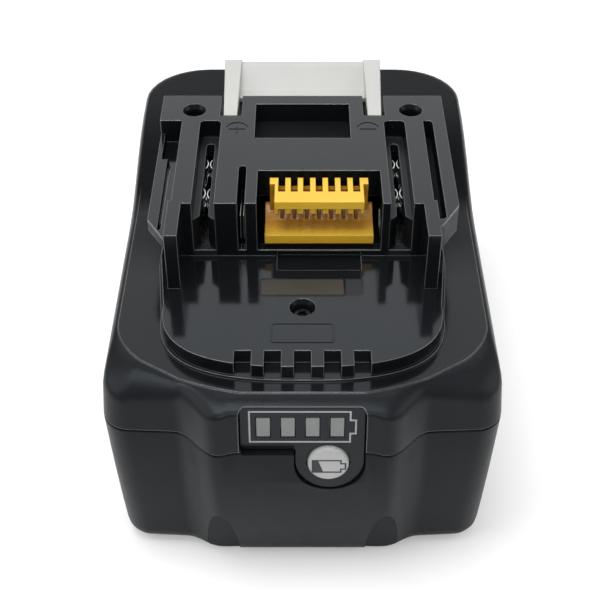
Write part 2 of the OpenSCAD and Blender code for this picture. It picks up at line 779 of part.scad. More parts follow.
// Coil spring as one tube with closed ends
spring_rings = 8;
spring_sides = 6;
spring_h = spring_top - spring_base;
function coil_point(t) = let (r = (spring_d - spring_wire) / 2, a = 360 * spring_turns * t,
    rise = spring_h - spring_wire)
  [r * cos(a), r * sin(a), spring_wire / 2 + rise * t];
function coil_ring(t) = let (p = coil_point(t), a = 360 * spring_turns * t,
    out = [cos(a), sin(a), 0], r = spring_wire / 2 - 0.01)
  [for (k = [0 : spring_sides - 1]) let (b = 360 * k / spring_sides)
    p + r * (cos(b) * out + sin(b) * [0, 0, 1])];
module coil() {
  n = spring_turns * spring_rings;
  s = spring_sides;
  points = [for (i = [0 : n]) each coil_ring(i / n)];
  sides = [for (i = [0 : n - 1]) for (k = [0 : s - 1])
    let (a = i * s + k, b = i * s + (k + 1) % s) each [[a, a + s, b + s], [a, b + s, b]]];
  start = [for (k = [1 : s - 2]) [0, k, k + 1]];
  end = [for (k = [1 : s - 2]) [n * s, n * s + k + 1, n * s + k]];
  polyhedron(points, concat(sides, start, end), convexity = 12);
}
echo(least_coil_gap = (spring_h - spring_wire) / spring_turns - spring_wire);
module latch_spring(side) {
  color("#b8bcc0") translate([side * spring_x, spring_y, spring_base]) coil();
}

// Yellow housing: a comb with ribs below it, a slit for the plug, and a lower lip with a ramp
module connector_housing() {
  g = fit_gap;
  half = pocket_w / 2 - 1 - g - housing_in;
  comb = half - comb_in;
  y1 = housing_y1;
  rib_y = comb_y0 + comb_bar;
  color("#e8b414") translate([pocket_x, 0, 0]) difference() {
    union() {
      box(-comb, comb, comb_y0, y1, comb_z0, comb_z1);
      box(-comb, comb, y1 - housing_t, y1, board_top, comb_z1 - comb_step);
      both_sides() box(comb - leg_w / 2, comb + leg_w, y1 - leg_l, y1, lip_z1 - eps, comb_z1);
      intersection() {
        in_row(pin_count + 1) box(-rib_w / 2, rib_w / 2, comb_y0 + comb_step / 2, y1, comb_z0 - rib_h,
          comb_z1 - eps);
        box(-comb, comb, comb_y0, y1, comb_z0 - rib_h, comb_z1);
      }
      along_x(-half, half) polygon([[lip_y0, lip_z0], [lip_y0, lip_z1], [ramp_y, lip_z1],
        [y1 - housing_t, lip_z1 + lip_rise], [y1, lip_z1 + lip_rise], [y1, lip_z0]]);
      box(-half + g, half - g, block_y + wall + g, y1, board_top, lip_z0 + eps);
    }
    in_row(pin_count) {
      box(-pin_gap / 2, pin_gap / 2, rib_y, y1 + 1, comb_z0 - back_step, top_z);
      box(-(pin_t + g) / 2, (pin_t + g) / 2, pin_y0 - g / 2, pin_y0 + pin_l + g / 2, board_top - 1, top_z);
    }
  }
}
// Copies side by side along X, in the connector's pitch
module in_row(count) {
  for (i = [0 : count - 1]) translate([(i - (count - 1) / 2) * pin_pitch, 0, 0]) children();
}
module connector_contacts() {
  color("#c9ccd0") translate([pocket_x, 0, 0]) in_row(pin_count) along_x(-pin_t / 2, pin_t / 2) polygon([
    [pin_y0, board_top], [pin_y0 + pin_l, board_top], [pin_y0 + pin_l, pin_top],
    [pin_y0 + pin_l / 2, pin_top], [pin_y0, pin_top - pin_l / 2]]);
}

// Fork contact: a base on the board and two pairs of sprung fingers with bowed tips that grip a blade
module fork_terminal(x) {
  knee = board_top + fork_knee;
  neck = cavity_z - slide_gap;
  color("#c4c8cc") translate([x, fork_y0, 0]) {
    box(-fork_half, fork_half, 0, fork_len, board_top, board_top + fork_t);
    for (i = [0 : fork_pairs - 1]) translate([0, fork_first + i * fork_pitch, 0]) both_sides() {
      along_y(-tip_l / 2, tip_l / 2) polygon([
        [fork_half - fork_t, board_top + fork_t - eps], [fork_half, board_top + fork_t - eps],
        [fork_half, knee], [tip_gap + tip_bow + tip_t, neck], [tip_gap, neck],
        [fork_half - fork_t, knee - tip_t]]);
      translate([0, 0, neck - tip_t]) linear_extrude(fork_top - neck + tip_t) bowed_tip();
    }
  }
}
// Plan of one bowed tip, nearest to the blade at its middle
module bowed_tip() {
  curve = [for (i = [0 : tip_steps]) let (u = 2 * i / tip_steps - 1)
    [tip_gap + tip_bow * u * u, u * tip_l / 2]];
  polygon(concat(curve, [for (i = [tip_steps : -1 : 0]) curve[i] + [tip_t, 0]]));
}
module terminal_positive() {
  fork_terminal(-slot_pitch / 2);
}
module terminal_negative() {
  fork_terminal(slot_pitch / 2);
}
module terminal_charge() {
  y0 = fork_y0;
  y1 = charge_y1 - 1;
  color("#c4c8cc") {
    box(charge_x - charge_base, charge_x + charge_base, y0, y1, board_top, board_top + fork_t);
    for (s = [-1, 1]) translate([charge_x, 0, 0]) scale([s, 1, 1])
      box(2 * tip_gap, 2 * tip_gap + tip_t, y0, y1, board_top + fork_t - eps, cavity_z + 1);
  }
}

module gauge_panel() {
  color("#232428") on_panel() difference() {
    along_y(panel_y, panel_back) panel_shape(0);
    along_y(panel_y - 1, panel_back + 1) window_places() square([window_w, window_h], center = true);
    translate([button_x, panel_y - 1, button_z]) rotate([-90, 0, 0])
      cylinder(d = button_d + slide_gap, h = panel_t + 2);
  }
}
module window_places() {
  for (i = [0 : 3]) translate([window_x0 + i * window_pitch, window_z]) children();
}
// Four light guides on one bar behind the panel
module gauge_lens() {
  g = fit_gap;
  color("#8d9094") on_panel() {
    along_y(panel_y + 0.1, panel_back + lens_bar) window_places()
      square([window_w - 2 * g, window_h - 2 * g], center = true);
    box(window_x0 - window_w / 2, window_x0 + 3 * window_pitch + window_w / 2, panel_back + 0.05,
      panel_back + lens_bar, window_z - window_h / 4, window_z + window_h / 4);
  }
}
module check_button() {
  face = panel_y - button_proud;
  back = panel_back + 0.1;
  tip = switch_tip_y - button_travel - 0.1;
  color("#a9abaa") on_panel() translate([button_x, 0, button_z]) rotate([-90, 0, 0]) {
    translate([0, 0, face]) cylinder(d1 = button_d - 2 * button_bevel, d2 = button_d, h = button_bevel + eps);
    translate([0, 0, face + button_bevel]) cylinder(d = button_d, h = back - face - button_bevel + eps);
    translate([0, 0, back]) cylinder(d = button_d + 2 * button_lip, h = button_lip);
    translate([0, 0, back + button_lip - eps]) cylinder(d = plunger_d, h = tip - back - button_lip + eps);
  }
}
module gauge_board() {
  color("#1f5c3a") on_panel() box(-gauge_board_w / 2, gauge_board_w / 2, gauge_board_y,
    gauge_board_y + gauge_board_t, gauge_board_z0, gauge_board_z1);
}
module gauge_lamps() {
  color("#d9e6dd") on_panel() along_y(gauge_board_y - switch_t, gauge_board_y) window_places()
    square([lamp_w, lamp_h], center = true);
}
// Dome switch on the gauge board, just behind the check button
module check_switch() {
  color("#55585c") on_panel() {
    box(button_x - switch_w / 2, button_x + switch_w / 2, gauge_board_y - switch_t, gauge_board_y,
      button_z - switch_w / 2, button_z + switch_w / 2);
    translate([button_x, switch_tip_y, button_z]) rotate([-90, 0, 0])
      cylinder(d = plunger_d, h = plunger_h + eps);
  }
}
// Flat lead from the gauge board over the first cells to the main board
module gauge_lead() {
  t = lead_t;
  y0 = gauge_board_y + gauge_board_t + lead_gap;
  y1 = screw_front_y - carrier_front - 1.2;
  y2 = board_y0 - 0.9;
  z0 = gauge_board_z1 - 6;
  z1 = cells_top + 0.6;
  z2 = board_z + 0.2;
  top = leaned([y0, z1 + 2 * t]).x;
  color("#c98d3a") along_x(lead_x0, lead_x1) polygon([
    leaned([y0, z0]), leaned([y0 + t, z0]), [top + t, z1], [y1 + t, z1], [y1 + t, z2],
    [y2 + t, z2], [y2 + t, board_top], [y2 + lead_lap, board_top], [y2 + lead_lap, board_top + t],
    [y2, board_top + t], [y2, z2 + t], [y1, z2 + t], [y1, z1 + t], [top, z1 + t]]);
}

module main_board() {
  color("#20603c") difference() {
    box(-board_half, board_half, board_y0, board_y1, board_z, board_top);
    for (x = [-board_hole_x, board_hole_x], y = [board_y0 + board_hole_in, board_y1 - board_hole_in])
      translate([x, y, board_z - 1]) cylinder(d = peg_d + 2 * fit_gap, h = board_t + 2);
  }
}
module board_parts() {
  color("#2a2b2e") {
    for (i = [-1 : 1]) translate([i * switch_pitch, board_y1 - 11, board_top]) package(5, 6, 1.6);
    translate([-switch_pitch / 2, board_y1 - 3.5, board_top]) package(7, 5, 1);
    translate([switch_pitch * 1.3, board_y1 - 3.5, board_top]) package(6, 3, 0.8);
  }
}
module package(w, l, h) {
  translate([-w / 2, -l / 2, 0]) cube([w, l, h]);
}
// Plastic tray over the cells that carries the main board and takes the case screws
module board_carrier() {
  y0 = screw_front_y - carrier_front;
  y1 = screw_rear_y + carrier_rear;
  color("#303236") difference() {
    union() {
      box(-neck_half + wall + 0.4, neck_half - wall - 0.4, y0, y1, carrier_z, carrier_z + carrier_t);
      screw_places() {
        translate([0, 0, carrier_z]) cylinder(d = boss_d, h = boss_top_rear - carrier_z);
        translate([0, 0, carrier_z]) cylinder(d = boss_d, h = boss_top_front - carrier_z);
      }
      for (x = [-board_hole_x, board_hole_x], y = [board_y0 + board_hole_in, board_y1 - board_hole_in])
        translate([x, y, carrier_z]) cylinder(d = peg_d, h = carrier_t + board_t - 0.2);
    }
    box(-carrier_gap, carrier_gap, board_y0 + 4, board_y1 - 3, carrier_z - 1, carrier_z + carrier_t + 1);
    screw_places() {
      translate([0, 0, screw_foot - 0.2]) cylinder(d = screw_d, h = top_z);
      translate([0, 0, screw_foot - 0.2]) cylinder(d = screw_d, h = top_z);
    }
  }
}
module case_screws() {
  color("#9a9da1") screw_places() {
    case_screw(screw_seat_rear);
    case_screw(screw_seat_front);
  }
}
// Pan-head screw with a six-lobed socket
module case_screw(seat) {
  difference() {
    union() {
      translate([0, 0, seat]) cylinder(d = screw_head_d, h = screw_head_h);
      translate([0, 0, screw_foot]) cylinder(d = screw_d - 2 * eps, h = seat - screw_foot + eps);
    }
    translate([0, 0, seat + screw_head_h / 3]) {
      cylinder(d = socket_d, h = screw_head_h);
      for (a = [0 : 60 : 300]) rotate(a) translate([socket_d / 2, 0, 0])
        cylinder(d = socket_d / 3, h = screw_head_h);
    }
  }
}

// Holder for one end of the cells: rings round the cells with posts in the gaps
module cell_holder(side) {
  x1 = cell_l / 2 - 0.3;
  x0 = x1 - holder_len;
  color("#3b3d41") scale([side, 1, 1]) difference() {
    along_x(x0, x1) holder_shape();
    along_x(x0 - 1, x1 + 1) cell_circles(cell_d + 0.2);
  }
}
module cell_circles(d) {
  for (c = [0 : cell_cols - 1], z = [cell_z1, cell_z2])
    translate([cell_y1 + c * cell_pitch, z]) circle(d = d);
}
module holder_shape() {
  cell_circles(cell_d + 2 * holder_wall);
  post_d = sqrt(2) * cell_pitch - cell_d - holder_wall;
  web = cell_pitch / 4;
  for (c = [0 : cell_cols - 2]) translate([cell_y1 + (c + 0.5) * cell_pitch, 0]) {
    translate([0, (cell_z1 + cell_z2) / 2]) circle(d = post_d);
    translate([-web, holder_top - web]) square([2 * web, web]);
    translate([-web, cell_base - holder_wall]) square([2 * web, web]);
  }
}

// Nickel strips: one at each end of the row, and pairs of columns alternating left and right
module bus_strip(side, c0, c1) {
  x0 = cell_l / 2 + strip_gap;
  color("#b9bcbf") scale([side, 1, 1]) along_x(x0, x0 + strip_t)
    translate([cell_y1 + c0 * cell_pitch - strip_w / 2, cell_z1 - strip_w / 2])
      square([(c1 - c0) * cell_pitch + strip_w, cell_pitch + strip_w]);
}
module insulator(side) {
  x0 = cell_l / 2 + 2 * strip_gap + strip_t;
  in = insulator_in;
  color("#cfd2c8") scale([side, 1, 1]) along_x(x0, x0 + insulator_t)
    translate([cell_y1 - cell_d / 2 + in, cell_base + in])
      square([cells_len - 2 * in, 2 * cell_d + cell_gap - 2 * in]);
}

// One cell: a can with a stepped cap at its positive end
module cell(index) {
  row = index > cell_cols ? 1 : 0;
  col = (index - 1) % cell_cols;
  flip = col % 2 == 0 ? 1 : -1;
  color("#2f7fa8")
    translate([0, cell_y1 + col * cell_pitch, row == 0 ? cell_z1 : cell_z2])
      rotate([0, 90 * flip, 0]) {
        translate([0, 0, -cell_l / 2]) cylinder(d = cell_d, h = cell_l - cap_h);
        translate([0, 0, cell_l / 2 - cap_h - eps]) cylinder(d = cap_d, h = cap_h + eps);
      }
}

lower_case();
upper_case();
latch();
latch_spring(-1);  // latch_spring_left
latch_spring(1);  // latch_spring_right
connector_housing();
connector_contacts();
terminal_positive();
terminal_negative();
terminal_charge();
gauge_panel();
gauge_lens();
check_button();
gauge_board();
gauge_lamps();
check_switch();
gauge_lead();
main_board();
board_parts();
board_carrier();
case_screws();
cell_holder(-1);  // cell_holder_left
cell_holder(1);  // cell_holder_right
insulator(-1);  // insulator_left
insulator(1);  // insulator_right
bus_strip(-1, 0, 0);  // bus_strip_1
bus_strip(1, 0, 1);  // bus_strip_2
bus_strip(-1, 1, 2);  // bus_strip_3
bus_strip(1, 2, 3);  // bus_strip_4
bus_strip(-1, 3, 4);  // bus_strip_5
bus_strip(1, 4, 4);  // bus_strip_6
for (i = [1 : 2 * cell_cols])
  cell(i);
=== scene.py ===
"""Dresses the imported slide-on battery pack: moulded finishes, soft edges, marks, gauge print and studio."""

from __future__ import annotations

import json
import logging
import math
from dataclasses import dataclass
from enum import Enum
from typing import Iterable, Mapping, Sequence

import bmesh
import bpy
from mathutils import Matrix, Vector

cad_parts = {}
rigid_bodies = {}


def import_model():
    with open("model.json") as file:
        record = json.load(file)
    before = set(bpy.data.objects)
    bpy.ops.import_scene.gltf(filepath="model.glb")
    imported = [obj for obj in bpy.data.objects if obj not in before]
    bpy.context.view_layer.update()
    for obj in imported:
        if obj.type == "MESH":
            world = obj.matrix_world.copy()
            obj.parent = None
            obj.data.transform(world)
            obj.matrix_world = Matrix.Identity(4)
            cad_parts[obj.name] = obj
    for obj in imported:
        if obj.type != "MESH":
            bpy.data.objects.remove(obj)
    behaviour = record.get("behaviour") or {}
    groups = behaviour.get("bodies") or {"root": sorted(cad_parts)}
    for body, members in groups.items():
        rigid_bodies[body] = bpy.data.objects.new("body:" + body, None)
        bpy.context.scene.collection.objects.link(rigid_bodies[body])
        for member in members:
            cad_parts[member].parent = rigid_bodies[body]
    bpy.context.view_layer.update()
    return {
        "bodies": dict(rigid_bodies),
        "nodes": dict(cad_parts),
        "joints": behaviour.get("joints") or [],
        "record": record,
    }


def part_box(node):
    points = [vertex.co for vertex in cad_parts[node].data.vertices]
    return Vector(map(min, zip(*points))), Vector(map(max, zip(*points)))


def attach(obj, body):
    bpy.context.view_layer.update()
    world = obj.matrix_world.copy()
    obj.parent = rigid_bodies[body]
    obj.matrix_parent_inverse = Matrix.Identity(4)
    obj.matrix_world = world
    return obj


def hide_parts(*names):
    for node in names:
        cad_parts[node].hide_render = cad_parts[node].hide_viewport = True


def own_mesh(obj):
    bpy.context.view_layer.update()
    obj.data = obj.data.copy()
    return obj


LOG = logging.getLogger("battery_pack")
MM = 0.001
SUNK = -0.05  # level of a mark's foot in millimetres, just below the face that it stands on

Color = tuple[float, float, float]
Point2 = tuple[float, float]
Point3 = tuple[float, float, float]
Span = tuple[float, float]
Sides = tuple[float, float, float, float]
Socket = bpy.types.NodeSocket


class Body(str, Enum):
    """The rigid bodies that added pieces ride on."""

    CASE = "case"
    BUTTON = "check_button"


@dataclass(frozen=True)
class LeaningPanel:
    """Place of the gauge panel, which leans back about the parting line of the case."""

    y: float = -54.35
    parting: float = 35.5
    lean: float = 7.0

    def matrix(self, out: float) -> Matrix:
        """Frame for marks drawn on the panel.

        Args:
            out: Distance in front of the panel's face, in millimetres.

        Returns:
            A matrix from drawing millimetres (across, up, out) to metres.
        """
        upright = Matrix(((1, 0, 0, 0), (0, 0, -1, 0), (0, 1, 0, 0), (0, 0, 0, 1)))
        turn = Matrix.Rotation(math.radians(-self.lean), 4, "X") @ upright
        pivot = Matrix.Translation((0.0, self.y, self.parting))
        return Matrix.Scale(MM, 4) @ pivot @ turn @ Matrix.Translation((0.0, -self.parting, out))


def level_matrix(level: float) -> Matrix:
    """Frame for marks drawn on a level face.

    Args:
        level: Height of the face in millimetres.

    Returns:
        A matrix from drawing millimetres (across, along, up) to metres.
    """
    return Matrix.Scale(MM, 4) @ Matrix.Translation((0.0, 0.0, level))


class NodeGraph:
    """Small helper that wires the shader nodes of one material."""

    def __init__(self, name: str) -> None:
        """Starts a node tree with a principled shader.

        Args:
            name: Name of the material.
        """
        self.material = bpy.data.materials.new(name)
        self.material.use_nodes = True
        self.tree = self.material.node_tree
        self.shader = self.tree.nodes["Principled BSDF"]
        self._place: Socket | None = None

    def add(self, kind: str, inputs: Mapping[str | int, object] | None = None,
            **settings: object) -> bpy.types.Node:
        """Adds a node.

        Args:
            kind: Type name of the node.
            inputs: Values or sockets for its inputs, by name or number.
            settings: Properties of the node.

        Returns:
            The new node.
        """
        node = self.tree.nodes.new(kind)
        for key, value in settings.items():
            setattr(node, key, value)
        for key, value in (inputs or {}).items():
            self.feed(node.inputs[key], value)
        return node

    def feed(self, socket: Socket, value: object) -> None:
        """Links or sets one input.

        Args:
            socket: The input.
            value: A socket to link, or a plain value.
        """
        if isinstance(value, bpy.types.NodeSocket):
            self.tree.links.new(value, socket)
        else:
            socket.default_value = value

    def surface(self, inputs: Mapping[str, object]) -> None:
        """Links or sets inputs of the principled shader.

        Args:
            inputs: Values or sockets, by name of the input.
        """
        for name, value in inputs.items():
            self.feed(self.shader.inputs[name], value)

    def place(self) -> Socket:
        """Object coordinates, which are pack coordinates in metres.

        Returns:
            The coordinates.
        """
        if self._place is None:
            self._place = self.add("ShaderNodeTexCoord").outputs["Object"]
        return self._place

    def axis(self, name: str) -> Socket:
        """One coordinate of the pack in metres: X, Y or Z."""
        return self.add("ShaderNodeSeparateXYZ", {"Vector": self.place()}).outputs[name]

    def facing(self, name: str) -> Socket:
        """One part of the surface's normal: X, Y or Z."""
        normal = self.add("ShaderNodeNewGeometry").outputs["Normal"]
        return self.add("ShaderNodeSeparateXYZ", {"Vector": normal}).outputs[name]

    def noise(self, scale: float, detail: float = 3.0, rough: float = 0.5,
              stretch: Sequence[float] | None = None) -> Socket:
        """Noise over the pack.

        Args:
            scale: Waves per metre.
            detail: Octaves of the noise.
            rough: How strong the finer octaves are.
            stretch: Scale along each axis, for brushed grain.

        Returns:
            The noise value.
        """
        place = self.place()
        if stretch is not None:
            mapping = self.add("ShaderNodeMapping", {"Vector": place, "Scale": Vector(stretch)})
            place = mapping.outputs["Vector"]
        node = self.add("ShaderNodeTexNoise",
                        {"Vector": place, "Scale": scale, "Detail": detail, "Roughness": rough})
        return node.outputs["Fac"]

    def remap(self, value: Socket, span: Span, to: Span = (0.0, 1.0)) -> Socket:
        """Maps a value to another range.

        Args:
            value: What is mapped.
            span: Range of the value.
            to: Range of the result.

        Returns:
            The clamped result.
        """
        node = self.add("ShaderNodeMapRange", {
            "Value": value, "From Min": span[0], "From Max": span[1], "To Min": to[0], "To Max": to[1]})
        return node.outputs["Result"]

    def step(self, value: Socket, edge: float, width: float) -> Socket:
        """Soft step from 0 to 1.

        Args:
            value: What is compared.
            edge: Where the step is half way.
            width: Half width of the soft part; negative for a falling step.

        Returns:
            The step's value.
        """
        return self.remap(value, (edge - width, edge + width))

    def math(self, operation: str, a: object, b: object) -> Socket:
        """One arithmetic step.

        Args:
            operation: Name of the operation.
            a: First value or socket.
            b: Second value or socket.

        Returns:
            The result.
        """
        return self.add("ShaderNodeMath", {0: a, 1: b}, operation=operation).outputs["Value"]

    def product(self, first: Socket, *others: Socket) -> Socket:
        """Product of several values.

        Args:
            first: First value.
            others: Values that it is multiplied by.

        Returns:
            The product.
        """
        for other in others:
            first = self.math("MULTIPLY", first, other)
        return first

    def mix(self, factor: Socket, a: Color | Socket, b: Color | Socket) -> Socket:
        """Blends two colours.

        Args:
            factor: Blend value.
            a: Colour or socket at 0.
            b: Colour or socket at 1.

        Returns:
            The blended colour.
        """
        node = self.add("ShaderNodeMix", data_type="RGBA")
        self.feed(node.inputs["Factor"], factor)
        for name, color in (("A", a), ("B", b)):
            linked = isinstance(color, bpy.types.NodeSocket)
            self.feed(node.inputs[name], color if linked else (*color, 1.0))
        return node.outputs["Result"]

    def lerp(self, factor: float | Socket, a: float | Socket, b: float | Socket) -> Socket:
        """Blends two values.

        Args:
            factor: Blend value.
            a: Value or socket at 0.
            b: Value or socket at 1.

        Returns:
            The blended value.
        """
        node = self.add("ShaderNodeMix", {"Factor": factor, "A": a, "B": b}, data_type="FLOAT")
        return node.outputs["Result"]

    def bump(self, height: Socket, distance: float, strength: float = 1.0,
             under: Socket | None = None) -> Socket:
        """Surface relief.

        Args:
            height: Height signal.
            distance: Depth in metres.
            strength: Share of the depth.
            under: Normal of a coarser relief below it.

        Returns:
            The bent normal.
        """
        inputs: dict[str, object] = {"Height": height, "Distance": distance, "Strength": strength}
        if under is not None:
            inputs["Normal"] = under
        return self.add("ShaderNodeBump", inputs).outputs["Normal"]

    def rounded(self, radius: float) -> Socket:
        """Normal that runs smoothly round sharp edges.

        Args:
            radius: Radius of the edge in metres.

        Returns:
            The bent normal.
        """
        return self.add("ShaderNodeBevel", {"Radius": radius}, samples=6).outputs["Normal"]

    def openness(self, reach: float) -> Socket:
        """How far a place lies in the open, from 0 in a deep recess to 1.

        Args:
            reach: How far other surfaces count, in metres.

        Returns:
            The share of open directions.
        """
        return self.add("ShaderNodeAmbientOcclusion", {"Distance": reach}, samples=8).outputs["AO"]

    def highlight_edge_mask(self, bent: Socket, reach: float, turn: Span = (0.78, 0.97),
             shelter: Span = (0.66, 0.86)) -> Socket:
        """Mask of the sharp outer edges, which take a painted highlight in the colour.

        Args:
            bent: Normal that runs round the edges.
            reach: How near another surface has to be to shelter an edge, in metres.
            turn: Cosine between bent and plain normal, from a sharp edge to a plain face.
            shelter: Openness, from a sheltered corner to a free edge.

        Returns:
            1 along sharp outer edges, 0 on plain faces and in corners.
        """
        plain = self.add("ShaderNodeNewGeometry").outputs["Normal"]
        cosine = self.add("ShaderNodeVectorMath", {0: bent, 1: plain}, operation="DOT_PRODUCT").outputs["Value"]
        return self.product(self.remap(cosine, turn, (1.0, 0.0)), self.remap(self.openness(reach), shelter))


@dataclass(frozen=True)
class MouldedPlastic:
    """Injection-moulded plastic with a fine tool grain and faint flow clouds, and, where given, painted shade
    in its recesses.

    Flow, smear, wave and grain count waves per metre. Depths and reach are in metres, the edge's radius is in
    millimetres, and spans are the noise values between which a finish changes.
    """

    name: str
    color: Color
    shade: Color
    rough: Span
    specular: float = 0.5
    tint: Color = (1.0, 1.0, 1.0)
    flow: float = 55.0
    flow_span: Span = (0.35, 0.68)
    smear: float = 495.0
    smear_share: float = 0.4
    smear_span: Span = (0.36, 0.66)
    wave: float = 140.0
    wave_depth: float = 0.00005
    wave_share: float = 0.25
    grain: float = 9000.0
    grain_depth: float = 0.0000045
    subsurface: float = 0.0
    scatter: Color = (0.0012, 0.0010, 0.0008)
    painted_recess_shade: Color | None = None
    shade_reach: float = 0.009
    shade_span: Span = (0.25, 0.75)
    edge: float = 0.0

    def material(self) -> bpy.types.Material:
        """Builds the finish.

        Returns:
            The material.
        """
        g = NodeGraph(self.name)
        cloud = g.noise(self.flow, detail=4.0, rough=0.55)
        smear = g.noise(self.smear, detail=3.0, rough=0.6)
        paint = g.mix(g.remap(cloud, self.flow_span), self.color, self.shade)
        if self.painted_recess_shade is not None:
            # Painted shade: the colour turns deeper where other surfaces are near, as in a recess.
            paint = g.mix(g.remap(g.openness(self.shade_reach), self.shade_span), self.painted_recess_shade, paint)
        handled = g.lerp(self.smear_share, cloud, smear)
        soft = g.rounded(self.edge * MM) if self.edge else None
        wave = g.bump(g.noise(self.wave, detail=2.0), self.wave_depth, self.wave_share, soft)
        grain = g.noise(self.grain, detail=2.0, rough=0.6)
        g.surface({
            "Base Color": paint,
            "Roughness": g.remap(handled, self.smear_span, self.rough),
            "Normal": g.bump(grain, self.grain_depth, under=wave),
            "Specular IOR Level": self.specular,
            "Specular Tint": (*self.tint, 1.0),
        })
        if self.subsurface:
            g.surface({"Subsurface Weight": self.subsurface, "Subsurface Radius": self.scatter})
        return g.material


@dataclass(frozen=True)
class Sheen:
    """Roughness and mirror strength of one zone of a moulding."""

    rough: float
    specular: float


@dataclass(frozen=True)
class Patch:
    """Box round a part of the platform or its front plate, in millimetres, with a sheen of its own."""

    x: Span
    y: Span
    z: Span
    sheen: Sheen


@dataclass(frozen=True)
class CaseTop:
    """Black case top: satin shell, polished slide platform and floor, duller deck, pockets and uprights, and a
    painted highlight along its sharp outer edges.

    Places, edge and soft widths are in millimetres. Flow, haze, wave and grain count waves per metre.
    """

    name: str
    color: Color
    shade: Color
    tint: Color
    shell: Sheen
    platform: Sheen
    upright: Sheen
    floor: Sheen
    deck: Sheen
    patches: tuple[Patch, ...]
    floor_z: float = 45.7
    rear_y: float = 24.5
    half_width: float = 30.4
    floor_front: float = -12.0
    floor_fade: float = 6.0
    soft: float = 0.3
    steep: Span = (0.75, 0.2)
    edge: float = 0.35
    shelter: float = 1.05
    edge_mirror: float = 1.0
    # Colour of the painted highlight along the sharp outer edges.
    edge_highlight_color: Color = (0.24, 0.25, 0.26)
    flow: float = 60.0
    flow_span: Span = (0.36, 0.66)
    haze: float = 620.0
    haze_share: float = 0.5
    haze_span: Span = (0.38, 0.64)
    blur: Span = (-0.03, 0.04)
    wave: float = 120.0
    wave_depth: float = 0.00005
    wave_share: float = 0.3
    grain: float = 8200.0
    grain_depth: float = 0.0000045
    polish: float = 0.16

    def material(self) -> bpy.types.Material:
        """Builds the finish.

        Returns:
            The material.
        """
        g = NodeGraph(self.name)
        cloud = g.noise(self.flow, detail=4.0, rough=0.55)
        haze = g.noise(self.haze, detail=3.0, rough=0.6)
        platform = self._platform_mask(g)
        rough: float | Socket = self.shell.rough
        mirror: float | Socket = self.shell.specular
        for mask, sheen in self._zones(g, platform):
            rough = g.lerp(mask, rough, sheen.rough)
            mirror = g.lerp(mask, mirror, sheen.specular)
        bent = g.rounded(self.edge * MM)
        highlight_edge_mask = g.highlight_edge_mask(bent, self.shelter * MM)
        paint = g.mix(g.remap(cloud, self.flow_span), self.color, self.shade)
        blur = g.remap(g.lerp(self.haze_share, cloud, haze), self.haze_span, self.blur)
        wave = g.bump(g.noise(self.wave, detail=2.0), self.wave_depth, self.wave_share, bent)
        grain = g.product(g.noise(self.grain, detail=2.0, rough=0.6),
                          g.remap(platform, (0.0, 1.0), (1.0, self.polish)))
        # An export that drops the link below finds the shell's own mirror strength on the socket.
        g.surface({"Specular IOR Level": self.shell.specular})
        g.surface({
            # The sharp outer edges get a lighter base colour, which is a painted highlight, and a stronger
            # mirror.
            "Base Color": g.mix(highlight_edge_mask, paint, self.edge_highlight_color),
            "Roughness": g.math("ADD", rough, blur),
            "Normal": g.bump(grain, self.grain_depth, under=wave),
            "Specular IOR Level": g.lerp(highlight_edge_mask, mirror, self.edge_mirror),
            "Specular Tint": (*self.tint, 1.0),
        })
        return g.material

    def _above_floor(self, g: NodeGraph) -> Socket:
        """Mask of all that stands above the floor."""
        return g.step(g.axis("Z"), (self.floor_z + self.soft) * MM, self.soft * MM)

    def _platform_mask(self, g: NodeGraph) -> Socket:
        """Mask of the slide platform.

        Args:
            g: The node graph.

        Returns:
            The mask.
        """
        grow = self.soft * MM
        across = g.math("ABSOLUTE", g.axis("X"), 0.0)
        ahead = g.step(g.axis("Y"), self.rear_y * MM + grow, -grow)
        inside = g.step(across, self.half_width * MM + grow, -grow)
        return g.product(self._above_floor(g), ahead, inside)

    def _zones(self, g: NodeGraph, platform: Socket) -> list[tuple[Socket, Sheen]]:
        """Masks of the zones, each laid over the ones before it.

        Args:
            g: The node graph.
            platform: Mask of the slide platform.

        Returns:
            Masks with their sheens.
        """
        grow = self.soft * MM
        level = g.step(g.axis("Z"), self.floor_z * MM - grow, grow)
        near = g.step(g.axis("Y"), self.floor_front * MM, -self.floor_fade * MM)
        slope, slope_width = self.steep
        upright = g.product(platform, g.step(g.facing("Z"), slope, -slope_width))
        zones = [(g.product(near, level), self.floor), (self._above_floor(g), self.deck),
                 (platform, self.platform), (upright, self.upright)]
        return zones + [(self._inside(g, patch), patch.sheen) for patch in self.patches]

    def _inside(self, g: NodeGraph, patch: Patch) -> Socket:
        """Mask of one patch.

        Args:
            g: The node graph.
            patch: The box.

        Returns:
            The mask.
        """
        grow = self.soft * MM
        steps: list[Socket] = []
        for name, (low, high) in zip("XYZ", (patch.x, patch.y, patch.z)):
            place = g.axis(name)
            steps += [g.step(place, low * MM, grow), g.step(place, high * MM, -grow)]
        return g.product(*steps)


@dataclass(frozen=True)
class SheetMetal:
    """Plated or drawn metal with a brushed grain along one direction."""

    name: str
    color: Color
    shade: Color
    roughness: float
    stretch: Point3 = (1.0, 0.06, 0.06)
    brush: float = 9000.0
    brush_depth: float = 0.000003
    rough_share: Span = (0.75, 1.3)
    tarnish: float = 420.0

    def material(self) -> bpy.types.Material:
        """Builds the finish.

        Returns:
            The material.
        """
        g = NodeGraph(self.name)
        brush = g.noise(self.brush, detail=3.0, rough=0.6, stretch=self.stretch)
        tarnish = g.noise(self.tarnish, detail=4.0, rough=0.6)
        low, high = self.rough_share
        g.surface({
            "Base Color": g.mix(g.remap(tarnish, (0.4, 0.7)), self.color, self.shade),
            "Roughness": g.remap(brush, (0.3, 0.7), (self.roughness * low, self.roughness * high)),
            "Normal": g.bump(brush, self.brush_depth, 0.8),
            "Metallic": 1.0,
        })
        return g.material


